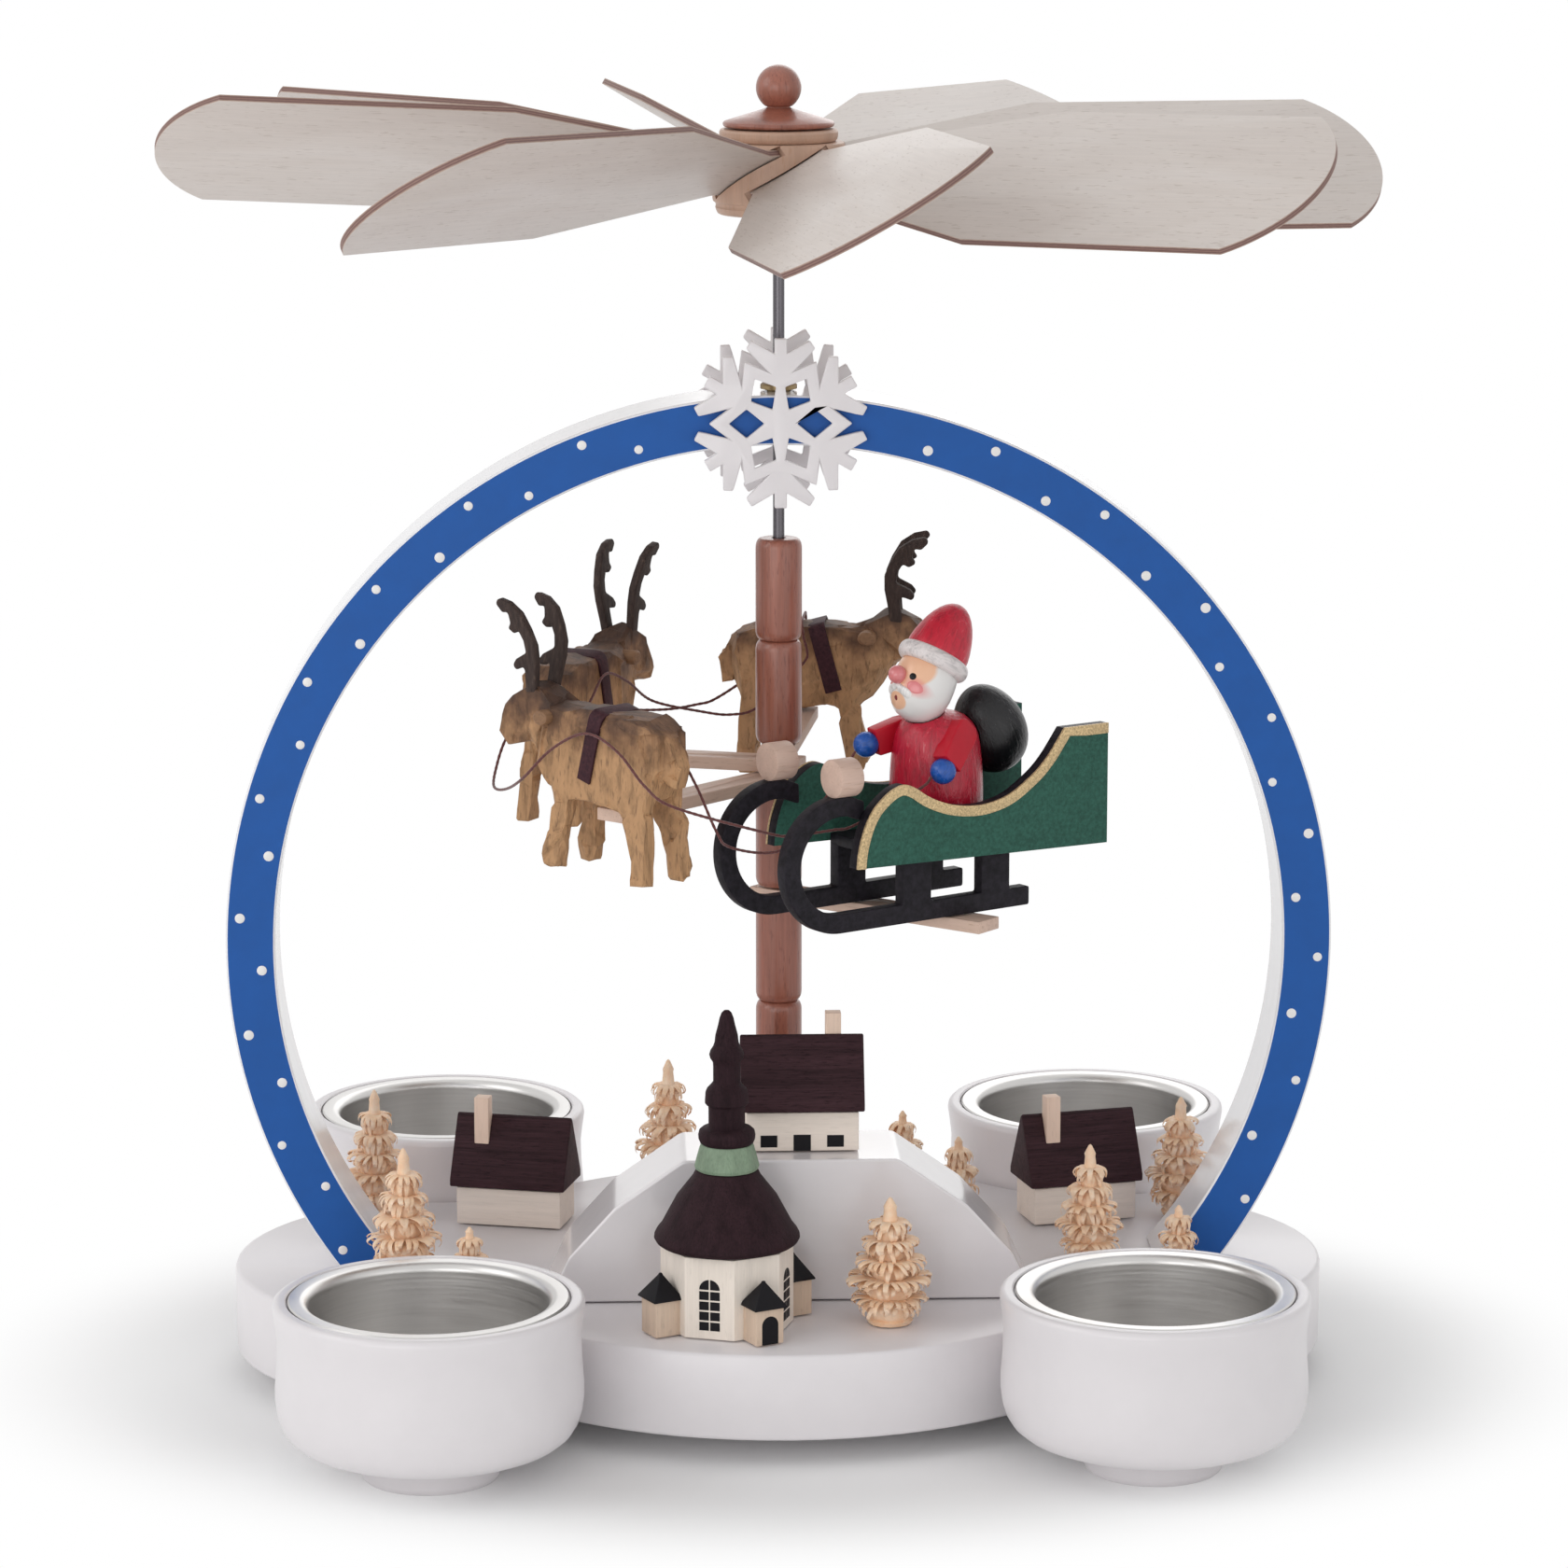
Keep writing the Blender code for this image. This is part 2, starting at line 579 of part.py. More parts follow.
def make_snowflake(name, y):
    right = snowflake_edge()
    left = [(-x, z) for x, z in reversed(right)]
    valley = (-FLAKE_VALLEY_R * sin(radians(30.0)), FLAKE_VALLEY_R * cos(radians(30.0)))
    middle = (FLAKE_HOLE_NEAR + FLAKE_HOLE_FAR) / 2.0
    rhomb = [(0.0, FLAKE_HOLE_NEAR), (FLAKE_HOLE_HALF, middle),
             (0.0, FLAKE_HOLE_FAR), (-FLAKE_HOLE_HALF, middle)]
    edge = []
    holes = []
    for k in range(6):
        turn = -radians(60.0) * k
        edge += turned_outline([valley] + left + right, turn)
        holes.append(turned_outline(rhomb, turn + radians(30.0)))
    place_at = (0.0, y, ARCH_TOP - FLAKE_DROP)
    return plate(name, [edge] + holes, FLAKE_THICK, WHITE, location=place_at, rotation=UPRIGHT)


def make_snowflakes():
    stand_off = ARCH_DEPTH / 2.0 + GAP + FLAKE_THICK / 2.0
    make_snowflake("snowflake_front", -stand_off)
    make_snowflake("snowflake_rear", stand_off)


# Hill, houses, church and trees

def make_hill():
    right = [(x * MM, share * HILL_H) for x, share in HILL_PROFILE]
    outline = right + [(-x, z) for x, z in reversed(right)]
    place_at = (HILL_X, HILL_FRONT + HILL_DEPTH / 2.0, BASE_TOP + GAP)
    plate("hill", [outline], HILL_DEPTH, WHITE, location=place_at, rotation=UPRIGHT)


def make_house(spec, ground):
    frame = axis_empty(spec["name"] + "_place", (spec["x"], spec["y"], ground + GAP), spec["turn"])
    half_l = HOUSE_L / 2.0
    half_w = HOUSE_W / 2.0
    box(spec["name"] + "_walls", (-half_l, -half_w, 0.0), (half_l, half_w, WALL_H), LIME, parent=frame)
    eave = half_w + ROOF_OVERHANG
    under = WALL_H + GAP
    ridge = under + ROOF_H
    gable = [(-eave, under), (eave, under), (eave, under + ROOF_EDGE),
             (0.0, ridge), (-eave, under + ROOF_EDGE)]
    roof = plate(spec["name"] + "_roof", [gable], HOUSE_L + 2.0 * ROOF_OVERHANG, DARK_ROOF,
                 rotation=(pi / 2.0, 0.0, pi / 2.0), parent=frame)
    low = (CHIMNEY_X - CHIMNEY / 2.0, -CHIMNEY_FRONT, under + ROOF_EDGE + 1.0 * MM)
    high = (CHIMNEY_X + CHIMNEY / 2.0, CHIMNEY - CHIMNEY_FRONT, ridge + CHIMNEY_RISE)
    chimney = box(spec["name"] + "_chimney", low, high, LIME, parent=frame)
    boolean(roof, chimney, "UNION")


def make_houses():
    for spec in HOUSES:
        on_hill = spec["name"] == "house_hill"
        make_house(spec, BASE_TOP + GAP + HILL_H if on_hill else BASE_TOP)


def octagon(flat):
    corner = flat / 2.0 / cos(pi / 8.0)
    return [(corner * cos(pi / 8.0 + k * pi / 4.0), corner * sin(pi / 8.0 + k * pi / 4.0)) for k in range(8)]


def make_church():
    ground = BASE_TOP + GAP
    frame = axis_empty("church_place", (CHURCH_X, CHURCH_Y, ground), CHURCH_TURN)
    walls = plate("church_walls", [octagon(CHURCH_FLAT)], CHURCH_WALL_H, LIME,
                  location=(0.0, 0.0, CHURCH_WALL_H / 2.0), parent=frame)
    add_porches(walls, frame)
    eave = CHURCH_WALL_H + GAP
    collar_low = eave + CHURCH_ROOF_H
    low = collar_low + COLLAR_H
    tower = [(r * MM, low + z * MM) for r, z in reversed(TOWER_PROFILE)]
    roof = [
        (COLLAR_R * 0.84, low), (COLLAR_R, collar_low), (CHURCH_ROOF_TOP_R + 0.6 * MM, collar_low - 1.0 * MM),
        (CHURCH_EAVE_R - 0.4 * MM, eave + 2.0 * MM), (CHURCH_EAVE_R, eave + 1.0 * MM),
        (CHURCH_EAVE_R - 0.6 * MM, eave), (0.0, eave),
    ]
    turned("church_roof", tower + roof, 16, DARK_ROOF, parent=frame)


def add_porches(walls, frame):
    """Small porches on every second face of the church, but for the one that looks at the hill."""
    inner = CHURCH_FLAT / 2.0 - 0.5 * MM
    outer = CHURCH_FLAT / 2.0 + PORCH_OUT
    half = PORCH_W / 2.0
    for azimuth in PORCH_AZIMUTHS:
        turn = (0.0, 0.0, radians(azimuth))
        porch = box("porch", (inner, -half, 0.0), (outer, half, PORCH_H), LIME, rotation=turn, parent=frame)
        boolean(walls, porch, "UNION")
        roof = bmesh.new()
        bmesh.ops.create_cone(roof, cap_ends=True, segments=4, radius1=sqrt(0.5), radius2=0.05, depth=1.0)
        bmesh.ops.rotate(roof, verts=roof.verts, matrix=Matrix.Rotation(pi / 4.0, 3, "Z"))
        size = Vector((outer - inner + 0.5 * MM, PORCH_W + 1.0 * MM, PORCH_ROOF_H))
        bmesh.ops.scale(roof, verts=roof.verts, vec=size)
        middle = Vector(((inner + outer + 0.5 * MM) / 2.0, 0.0, PORCH_H + PORCH_ROOF_H / 2.0 - 0.05 * MM))
        bmesh.ops.translate(roof, verts=roof.verts, vec=middle)
        mesh = bpy.data.meshes.new("porch_roof")
        roof.to_mesh(mesh)
        roof.free()
        boolean(walls, place("porch_roof", mesh, DARK_ROOF, rotation=turn, parent=frame), "UNION")


def tree_profile(height, radius):
    """Skirts of curled shavings, widest a quarter of the way up, under a pointed stem."""
    tiers = max(3, round(height * 0.72 / TREE_TIER_HEIGHT))
    low = 0.04 * height
    crown = 0.80 * height
    step = (crown - low) / tiers
    profile = [(0.0, height), (TREE_STEM_R, height - 0.12 * height)]
    for k in range(tiers):
        share = (k + 1) / tiers
        reach = radius * (0.34 + 0.66 * min(1.0, share * 1.25)) * (0.84 if k == tiers - 1 else 1.0)
        top = crown - k * step
        profile.append((reach * 0.52, top))
        profile.append((reach, top - step * 0.62))
        profile.append((reach * 0.9, top - step * 0.86))
    profile.append((radius * 0.4, low))
    profile.append((radius * 0.35, 0.0))
    profile.append((0.0, 0.0))
    return profile


def make_trees():
    for index, (x, y, height, radius) in enumerate(TREES, 1):
        turned("tree_%02d" % index, tree_profile(height * MM, radius * MM), 8, SHAVING,
               location=(x * MM, y * MM, BASE_TOP + GAP))


# Rotor: shaft, pole, arms and propeller

def make_shaft(rotor):
    top = HUB_BOTTOM + HUB_H - HUB_CEILING
    profile = [(0.0, top), (SHAFT_R, top), (SHAFT_R, SHAFT_BOTTOM + SHAFT_POINT), (0.0, SHAFT_BOTTOM)]
    turned("shaft", profile, 14, STEEL, parent=rotor)


def bead_run(top, bottom, count):
    """The outer profile of a run of rounded beads, from its top face down to its bottom face."""
    points = []
    for k in range(count):
        high = top if k == 0 else top + GAP - k * BEAD_PITCH
        low = bottom if k == count - 1 else top + GAP - (k + 1) * BEAD_PITCH
        shoulder = BEAD_R - 0.25 * MM
        points += [(BEAD_NECK_R, high), (shoulder, high - BEAD_ROUND * 0.6), (BEAD_R, high - BEAD_ROUND),
                   (BEAD_R, low + BEAD_ROUND), (shoulder, low + BEAD_ROUND * 0.6)]
    points.append((BEAD_NECK_R, bottom))
    return points


def make_pole(rotor):
    bore = SHAFT_R + GAP
    runs = (("pole_upper", POLE_TOP, UPPER_BEAD_COUNT), ("pole_middle", MIDDLE_LEVEL, MIDDLE_BEAD_COUNT),
            ("pole_lower", LOWER_LEVEL, LOWER_BEAD_COUNT))
    for name, level, count in runs:
        top = level - GAP
        bottom = level - count * BEAD_PITCH
        profile = bead_run(top, bottom, count) + [(bore, bottom), (bore, top)]
        turned(name, profile, 14, WALNUT, closed=True, parent=rotor)


def make_arm(name, azimuth, reach, top, rotor):
    low = (-ARM_INNER_END, -ARM_WIDTH / 2.0, top - ARM_THICK)
    high = (reach, ARM_WIDTH / 2.0, top)
    return box(name, low, high, BEECH, rotation=(0.0, 0.0, radians(azimuth)), parent=rotor)


def bore_shaft(piece, low, high, rotor):
    bore = cylinder("shaft_bore", SHAFT_R + GAP, low - CUTTER_OVERRUN, high + CUTTER_OVERRUN, 16, BEECH,
                    parent=rotor)
    boolean(piece, bore)


def make_hub(rotor):
    bore = SHAFT_R + GAP
    bottom = HUB_BOTTOM
    top = HUB_BOTTOM + HUB_H
    disc_top = top + CAP_DISC_H
    bore_end = top - HUB_CEILING + GAP
    profile = [
        (0.0, disc_top), (CAP_DISC_R - 0.4 * MM, disc_top), (CAP_DISC_R, disc_top - 0.5 * MM),
        (CAP_DISC_R - 0.3 * MM, top), (HUB_R - 0.5 * MM, top), (HUB_R, top - 0.5 * MM),
        (HUB_R, bottom + 0.8 * MM), (HUB_R - 0.8 * MM, bottom),
        (bore, bottom), (bore, bore_end), (0.0, bore_end),
    ]
    hub = turned("hub", profile, 28, BEECH, parent=rotor)
    for k in range(BLADE_COUNT):
        low = (BLADE_ROOT - GAP, -BLADE_ROOT_HALF - 3 * GAP, -BLADE_THICK / 2.0 - GAP)
        high = (HUB_R + CUTTER_OVERRUN, BLADE_ROOT_HALF + 3 * GAP, BLADE_THICK / 2.0 + GAP)
        slot = box("blade_slot_%d" % (k + 1), low, high, BEECH, parent=rotor)
        slot.matrix_local = blade_matrix(k)
        boolean(hub, slot)


def blade_matrix(k):
    azimuth = FIRST_BLADE + k * 360.0 / BLADE_COUNT
    return (Matrix.Translation((0.0, 0.0, BLADE_Z)) @ Matrix.Rotation(radians(azimuth), 4, "Z")
            @ Matrix.Rotation(-radians(BLADE_LIFTS[k % len(BLADE_LIFTS)]), 4, "Y")
            @ Matrix.Rotation(radians(BLADE_PITCH), 4, "X"))


def make_blades(rotor):
    centre = BLADE_TIP - BLADE_TIP_ARC
    sweep = atan2(BLADE_HALF, sqrt(BLADE_TIP_ARC ** 2 - BLADE_HALF ** 2))
    tip = arc((centre, 0.0), BLADE_TIP_ARC, -sweep, sweep, 12)
    root = [(BLADE_ROOT, BLADE_ROOT_HALF), (BLADE_ROOT, -BLADE_ROOT_HALF), (HUB_R + GAP, -BLADE_ROOT_HALF)]
    outline = root + [(BLADE_SHOULDER, -BLADE_HALF)] + tip
    outline += [(BLADE_SHOULDER, BLADE_HALF), (HUB_R + GAP, BLADE_ROOT_HALF)]
    for k in range(BLADE_COUNT):
        blade = plate("blade_%d" % (k + 1), [outline], BLADE_THICK, PLY, parent=rotor)
        blade.matrix_local = blade_matrix(k)


def make_finial(rotor):
    cone_low = HUB_BOTTOM + HUB_H + CAP_DISC_H + GAP
    cone_top = cone_low + CAP_CONE_H
    ball = cone_top + sqrt(FINIAL_R ** 2 - FINIAL_STEM_R ** 2)
    start = atan2(sqrt(FINIAL_R ** 2 - FINIAL_STEM_R ** 2), FINIAL_STEM_R)
    round_part = arc((0.0, ball), FINIAL_R, pi / 2.0, -start, 9)
    cone = [(CAP_CONE_R, cone_low + 0.8 * MM), (CAP_CONE_R - 0.3 * MM, cone_low), (0.0, cone_low)]
    profile = round_part + cone
    profile[0] = (0.0, ball + FINIAL_R)
    turned("finial", profile, 20, WALNUT, parent=rotor)


# Reindeer

def scaled(points):
    return [(x * MM, z * MM) for x, z in points]


TORSO = scaled((
    (-11.2, 14.4), (-11.5, 8.2), (-10.4, 3.4), (-5.0, 0.2), (0.5, 0.0), (5.3, 0.9), (12.0, 1.3),
    (14.8, 2.8), (16.6, 5.6), (16.2, 11.0), (14.2, 15.6), (11.0, 15.8), (6.5, 16.4), (1.5, 16.4),
    (-7.6, 16.0),
))
HEAD = scaled((
    (9.6, 9.0), (12.6, 2.6), (15.4, 3.6), (18.2, 7.2), (19.8, 9.6), (21.8, 8.5), (25.4, 7.6),
    (27.3, 9.6), (27.0, 13.4), (22.8, 17.6), (19.6, 19.2), (17.0, 18.6), (13.8, 16.6), (10.4, 15.4),
))
FORE_LEG = scaled((
    (7.9, 2.4), (9.6, -5.6), (10.4, -11.6), (14.1, -11.6), (14.4, -8.4), (12.8, -4.8), (12.6, 3.4),
    (8.2, 5.2),
))
HIND_LEG = scaled((
    (-10.6, 5.4), (-9.8, 0.4), (-11.0, -2.2), (-10.2, -4.8), (-10.9, -12.0), (-7.0, -12.0),
    (-7.2, -7.6), (-5.8, -3.6), (-3.4, 1.6), (-4.6, 8.6),
))
TAIL = scaled((
    (-10.6, 13.6), (-12.4, 13.4), (-14.7, 10.0), (-14.3, 4.9), (-11.8, 5.2), (-11.6, 8.2),
    (-10.6, 9.0),
))
ANTLER_EDGE = scaled((
    (18.2, 16.4), (17.9, 19.6), (17.2, 23.4), (17.2, 26.1), (18.3, 28.8), (20.0, 31.6), (22.5, 33.2),
    (25.0, 33.7), (25.6, 32.7), (24.2, 31.3), (22.8, 31.5), (22.5, 29.6), (23.2, 28.6), (21.8, 27.8),
    (20.7, 28.5), (19.7, 26.8), (19.4, 24.7), (22.1, 23.3), (23.0, 22.2), (22.4, 21.3), (20.1, 22.2),
    (20.3, 19.6), (20.6, 16.4),
))


def side_plate(name, outline, thickness, y, look, parent, lean=0.0):
    """A plate that stands in the figure's XZ plane, its middle at y, leaning outward by a few degrees."""
    hinge = Vector((0.0, y, outline[0][1]))
    turn = Matrix.Translation(hinge) @ Matrix.Rotation(radians(lean), 4, "X") @ Matrix.Translation(-hinge)
    made = plate(name, [outline], thickness, look, parent=parent)
    made.matrix_local = turn @ Matrix.Translation((0.0, y, 0.0)) @ Matrix.Rotation(pi / 2.0, 4, "X")
    return made


def place_of(spec):
    """Where a figure's belly rests on its arm, and the arm's level."""
    level = REINDEER_LEVEL - TEAM.index(spec) * ARM_PITCH
    return polar(spec["radius"], spec["azimuth"], level) - polar(BELLY_ON_ARM, spec["heading"])


def make_reindeer(spec, frame):
    size = spec["size"]

    def carved(outline):
        return [(x * size, z * size) for x, z in outline]

    body = bevel(side_plate(spec["name"], carved(TORSO), 2.0 * REINDEER_HALF, 0.0, CARVED, frame), 1.1 * MM)
    pieces = [bevel(side_plate("head", carved(HEAD), 2.0 * HEAD_HALF, 0.0, CARVED, frame), 0.8 * MM)]
    for side in (-1.0, 1.0):
        leg_y = side * (REINDEER_HALF - LEG_THICK / 2.0 - 0.1 * MM)
        for leg in (FORE_LEG, HIND_LEG):
            pieces.append(side_plate("leg", carved(leg), LEG_THICK, leg_y, CARVED, frame,
                                     lean=side * LEG_SPLAY))
        antler_y = side * ANTLER_HALF_SPACING
        pieces.append(side_plate("antler", carved(ANTLER_EDGE), ANTLER_THICK, antler_y, ANTLER, frame,
                                 lean=-side * ANTLER_SPLAY))
    pieces.append(side_plate("tail", carved(TAIL), TAIL_THICK, 0.0, CARVED, frame))
    ear_x, ear_z = carved(scaled([EAR_AT]))[0]
    pieces.append(cylinder("ears", EAR_R, -EAR_REACH, EAR_REACH, 10, CARVED, location=(ear_x, 0.0, ear_z),
                           rotation=(pi / 2.0, 0.0, 0.0), parent=frame))
    pieces.append(make_strap(spec, frame))
    for piece in pieces:
        boolean(body, piece, "UNION")


def make_strap(spec, frame):
    """The girth strap: a band that stands a little out of the body all round."""
    outer = REINDEER_HALF + STRAP_THICK
    back = max(z for x, z in TORSO) * spec["size"]
    low = (-STRAP_WIDTH / 2.0, -outer, -STRAP_DROP)
    high = (STRAP_WIDTH / 2.0, outer, STRAP_THICK)
    band = box("strap", low, high, LEATHER, parent=frame)
    lean = Matrix.Rotation(-radians(STRAP_LEAN), 4, "Y")
    band.matrix_local = Matrix.Translation((spec["strap"], 0.0, back)) @ lean
    return band


def make_team(rotor):
    """Three figures, each on its own arm; the arms lie one on another, glued round the shaft."""
    frames = {}
    arms = []
    for index, spec in enumerate(TEAM):
        frame = axis_empty(spec["name"] + "_place", place_of(spec), spec["heading"], rotor)
        make_reindeer(spec, frame)
        frames[spec["name"]] = frame
        top = REINDEER_LEVEL - index * ARM_PITCH - GAP
        arms.append(make_arm("reindeer_arms", spec["azimuth"], spec["radius"] + ARM_PAST_BELLY, top, rotor))
    low = MIDDLE_LEVEL
    high = REINDEER_LEVEL - GAP
    glue = cylinder("glue_ring", ARM_WIDTH / 2.0, low, high, 20, BEECH, parent=rotor)
    for piece in (*arms[1:], glue):
        boolean(arms[0], piece, "UNION")
    bore_shaft(arms[0], low, high, rotor)
    return frames


# Sleigh and santa

def side_outline():
    """The sleigh side: high square back, a swept rail and a crested front."""
    rail = scaled((
        (-31.2, 30.8), (-29.5, 28.6), (-27.7, 26.4), (-25.5, 24.3), (-22.9, 22.5), (-20.3, 21.0),
        (-17.6, 20.0), (-14.0, 19.4), (-10.5, 19.5), (-7.0, 20.1), (-4.0, 21.1), (-1.5, 22.3),
        (1.0, 23.9), (3.2, 24.7), (5.3, 24.3), (7.4, 23.1), (9.6, 21.2), (11.2, 18.7),
        (12.3, 15.7),
    ))
    return [(SIDE_REAR, SIDE_LOW_REAR), (SIDE_REAR, SIDE_HIGH_REAR)] + rail + [(SIDE_FRONT, SIDE_LOW_FRONT)]


def make_sleigh(rotor):
    offset = polar(SLEIGH_OFFSET, SLEIGH_HEADING + 90.0, SLEIGH_LEVEL)
    frame = axis_empty("sleigh_place", offset, SLEIGH_HEADING, rotor)
    arm_top = SLEIGH_LEVEL - GAP
    arm = make_arm("sleigh_arm", SLEIGH_ARM_AZIMUTH, SLEIGH_ARM_REACH, arm_top, rotor)
    bore_shaft(arm, arm_top - ARM_THICK, arm_top, rotor)
    runner_outer = RUNNER_HALF_GAUGE + RUNNER_THICK / 2.0
    side_middle = runner_outer + GAP + SIDE_THICK / 2.0
    runners = []
    for side, tag in ((1.0, "left"), (-1.0, "right")):
        side_plate("sleigh_side_" + tag, side_outline(), SIDE_THICK, side * side_middle, SLEIGH_GREEN, frame)
        runners.append(make_runner(side * RUNNER_HALF_GAUGE, frame))
    body = box("sleigh_frame", (SIDE_REAR + 1.0 * MM, -runner_outer, FLOOR_BOTTOM),
               (FLOOR_FRONT, runner_outer, FLOOR_BOTTOM + FLOOR_THICK), SLEIGH_BLACK, parent=frame)
    for piece in (*runners, *make_knobs(frame)):
        boolean(body, piece, "UNION")
    make_santa(frame)
    return frame


def make_runner(y, frame):
    curl = (RUNNER_CURL_AT, RUNNER_CURL_R)
    inner_r = RUNNER_CURL_R - RUNNER_BAR
    outer = arc(curl, RUNNER_CURL_R, -pi / 2.0, pi / 2.0 + radians(12.0), 16)
    inner = arc(curl, inner_r, pi / 2.0 + radians(12.0), -pi / 2.0, 12)
    high = 2.0 * RUNNER_CURL_R
    top = FLOOR_BOTTOM + FLOOR_THICK / 2.0
    end_z = high - RUNNER_END_DROP
    end = [(RUNNER_TOP_END, end_z), (RUNNER_TOP_END - 0.9 * MM, end_z - RUNNER_BAR)]
    edge = [(RUNNER_REAR, 0.0)] + outer + end + inner
    for middle in POST_AT:
        edge += [(middle + POST_WIDTH / 2.0, RUNNER_BAR), (middle + POST_WIDTH / 2.0, top),
                 (middle - POST_WIDTH / 2.0, top), (middle - POST_WIDTH / 2.0, RUNNER_BAR)]
    edge.append((RUNNER_REAR, RUNNER_BAR))
    return side_plate("runner", edge, RUNNER_THICK, y, SLEIGH_BLACK, frame)


def make_knobs(frame):
    """A short dowel on top of each runner's curl, lying along the sleigh."""
    height = 2.0 * RUNNER_CURL_R + KNOB_R - KNOB_SUNK
    made = []
    for side in (-1.0, 1.0):
        knob = cylinder("knob", KNOB_R, -KNOB_LENGTH / 2.0, KNOB_LENGTH / 2.0, 20, BEECH,
                        location=(RUNNER_CURL_AT - 1.0 * MM, side * RUNNER_HALF_GAUGE, height),
                        rotation=(0.0, pi / 2.0, 0.0), parent=frame)
        made.append(bevel(knob, 0.35 * MM))
    return made


def head_matrix():
    """The head and hat lean back together: local +Z points from the beard to the tip of the hat."""
    axis = HAT_TIP - BEARD_TIP
    lean = atan2(-axis.x, axis.z)
    brim = BEARD_TIP + axis.normalized() * BEARD_LENGTH
    return Matrix.Translation(brim) @ Matrix.Rotation(-lean, 4, "Y")


def head_profile(grow=0.0):
    radius = HEAD_R + grow
    length = BEARD_LENGTH + grow
    shape = ((0.0, 0.0), (0.9, 0.0), (0.99, -0.18), (1.0, -0.38), (0.96, -0.56), (0.84, -0.74), (0.62, -0.89),
             (0.34, -0.97), (0.0, -1.0))
    return [(r * radius, z * length) for r, z in shape]


def ball_profile(radius):
    return [(0.0, radius)] + arc((0.0, 0.0), radius, radians(60.0), radians(-60.0), 4) + [(0.0, -radius)]


def make_santa(frame):
    seat = axis_empty("santa_place", (SANTA_AT, 0.0, FLOOR_BOTTOM + FLOOR_THICK + GAP), parent=frame)
    profile = [(r * MM, z * SANTA_BODY_H) for r, z in SANTA_BODY]
    body = turned("santa_body", profile, 16, RED, parent=seat)
    chin = turned("chin_hollow", head_profile(GAP), 20, RED, parent=seat)
    chin.matrix_local = head_matrix()
    boolean(body, chin)
    for piece in make_santa_arms(seat):
        boolean(body, piece, "UNION")
    head = turned("santa_head", head_profile(), 20, FACE, parent=seat)
    head.matrix_local = head_matrix()
    nose = turned("nose", ball_profile(NOSE_R), 10, FACE, parent=seat)
    nose.matrix_local = head_matrix() @ Matrix.Translation((HEAD_R + NOSE_R * 0.4, 0.0, -NOSE_DOWN))
    boolean(head, nose, "UNION")
    make_hat(seat)
    make_sack(seat, [(r + GAP if r else 0.0, z) for r, z in profile])


def make_hat(seat):
    height = (HAT_TIP - BEARD_TIP).length - BEARD_LENGTH - GAP
    shape = [(0.0, height), (2.2 * MM, height - 0.5 * MM), (3.9 * MM, height - 2.0 * MM),
             (5.2 * MM, height - 4.8 * MM), (5.9 * MM, 3.6 * MM), (5.9 * MM, 2.7 * MM),
             (BRIM_R - 0.2 * MM, 2.3 * MM), (BRIM_R, 1.3 * MM), (BRIM_R - 0.4 * MM, 0.3 * MM),
             (BRIM_R - 1.0 * MM, 0.0), (0.0, 0.0)]
    hat = turned("santa_hat", shape, 20, RED, parent=seat)
    hat.matrix_local = head_matrix() @ Matrix.Translation((0.0, 0.0, GAP))


def aimed(start, end):
    """A matrix at start whose +X points to end."""
    along = (end - start).normalized()
    side = Vector((0.0, 1.0, 0.0))
    up = along.cross(side).normalized()
    side = up.cross(along).normalized()
    turn = Matrix((along, side, up)).transposed().to_4x4()
    return Matrix.Translation(start) @ turn


def make_santa_arms(seat):
    made = []
    for shoulder, hand in ((NEAR_SHOULDER, NEAR_MITTEN), (FAR_SHOULDER, FAR_MITTEN)):
        length = (hand - shoulder).length
        sleeve_end = length - MITTEN_R * 0.7
        low = (-1.2 * MM, -SLEEVE_THICK / 2.0, -SLEEVE_WIDTH / 2.0)
        high = (sleeve_end, SLEEVE_THICK / 2.0, SLEEVE_WIDTH / 2.0)
        sleeve = box("sleeve", low, high, RED, parent=seat)
        sleeve.matrix_local = aimed(shoulder, hand)
        made.append(bevel(sleeve, 0.7 * MM))
        made.append(turned("mitten", ball_profile(MITTEN_R), 12, MITTEN_BLUE, location=hand, parent=seat))
    return made


def make_sack(seat, back_profile):
    """An egg-shaped sack, hollowed where it leans on the back."""
    shape = arc((0.0, 0.0), 1.0, pi / 2.0, -pi / 2.0, 10)
    profile = [(max(0.0, x) * SACK_R * (1.0 - 0.10 * z), z * SACK_HALF_LENGTH) for x, z in shape]
    profile[0] = (0.0, profile[0][1])
    profile[-1] = (0.0, profile[-1][1])
    sack = turned("santa_sack", profile, 16, SACK_BLACK, location=SACK_CENTRE,
                  rotation=(0.0, radians(SACK_LEAN), 0.0), parent=seat)
    boolean(sack, turned("back_hollow", back_profile, 16, SACK_BLACK, parent=seat))


# Reins

def smooth_line(points, longest):
    """A smooth curve through every point, with points between them only where they lie far apart."""
    padded = [points[0] * 2.0 - points[1]] + points + [points[-1] * 2.0 - points[-2]]
    line = [points[0]]
    for a, b, c, d in zip(padded, padded[1:], padded[2:], padded[3:]):
        steps = ceil((c - b).length / longest)
        for step in range(1, steps + 1):
            t = step / steps
            line.append(0.5 * (2.0 * b + (c - a) * t + (2.0 * a - 5.0 * b + 4.0 * c - d) * t ** 2
                               + (3.0 * b - a - 3.0 * c + d) * t ** 3))
    return line


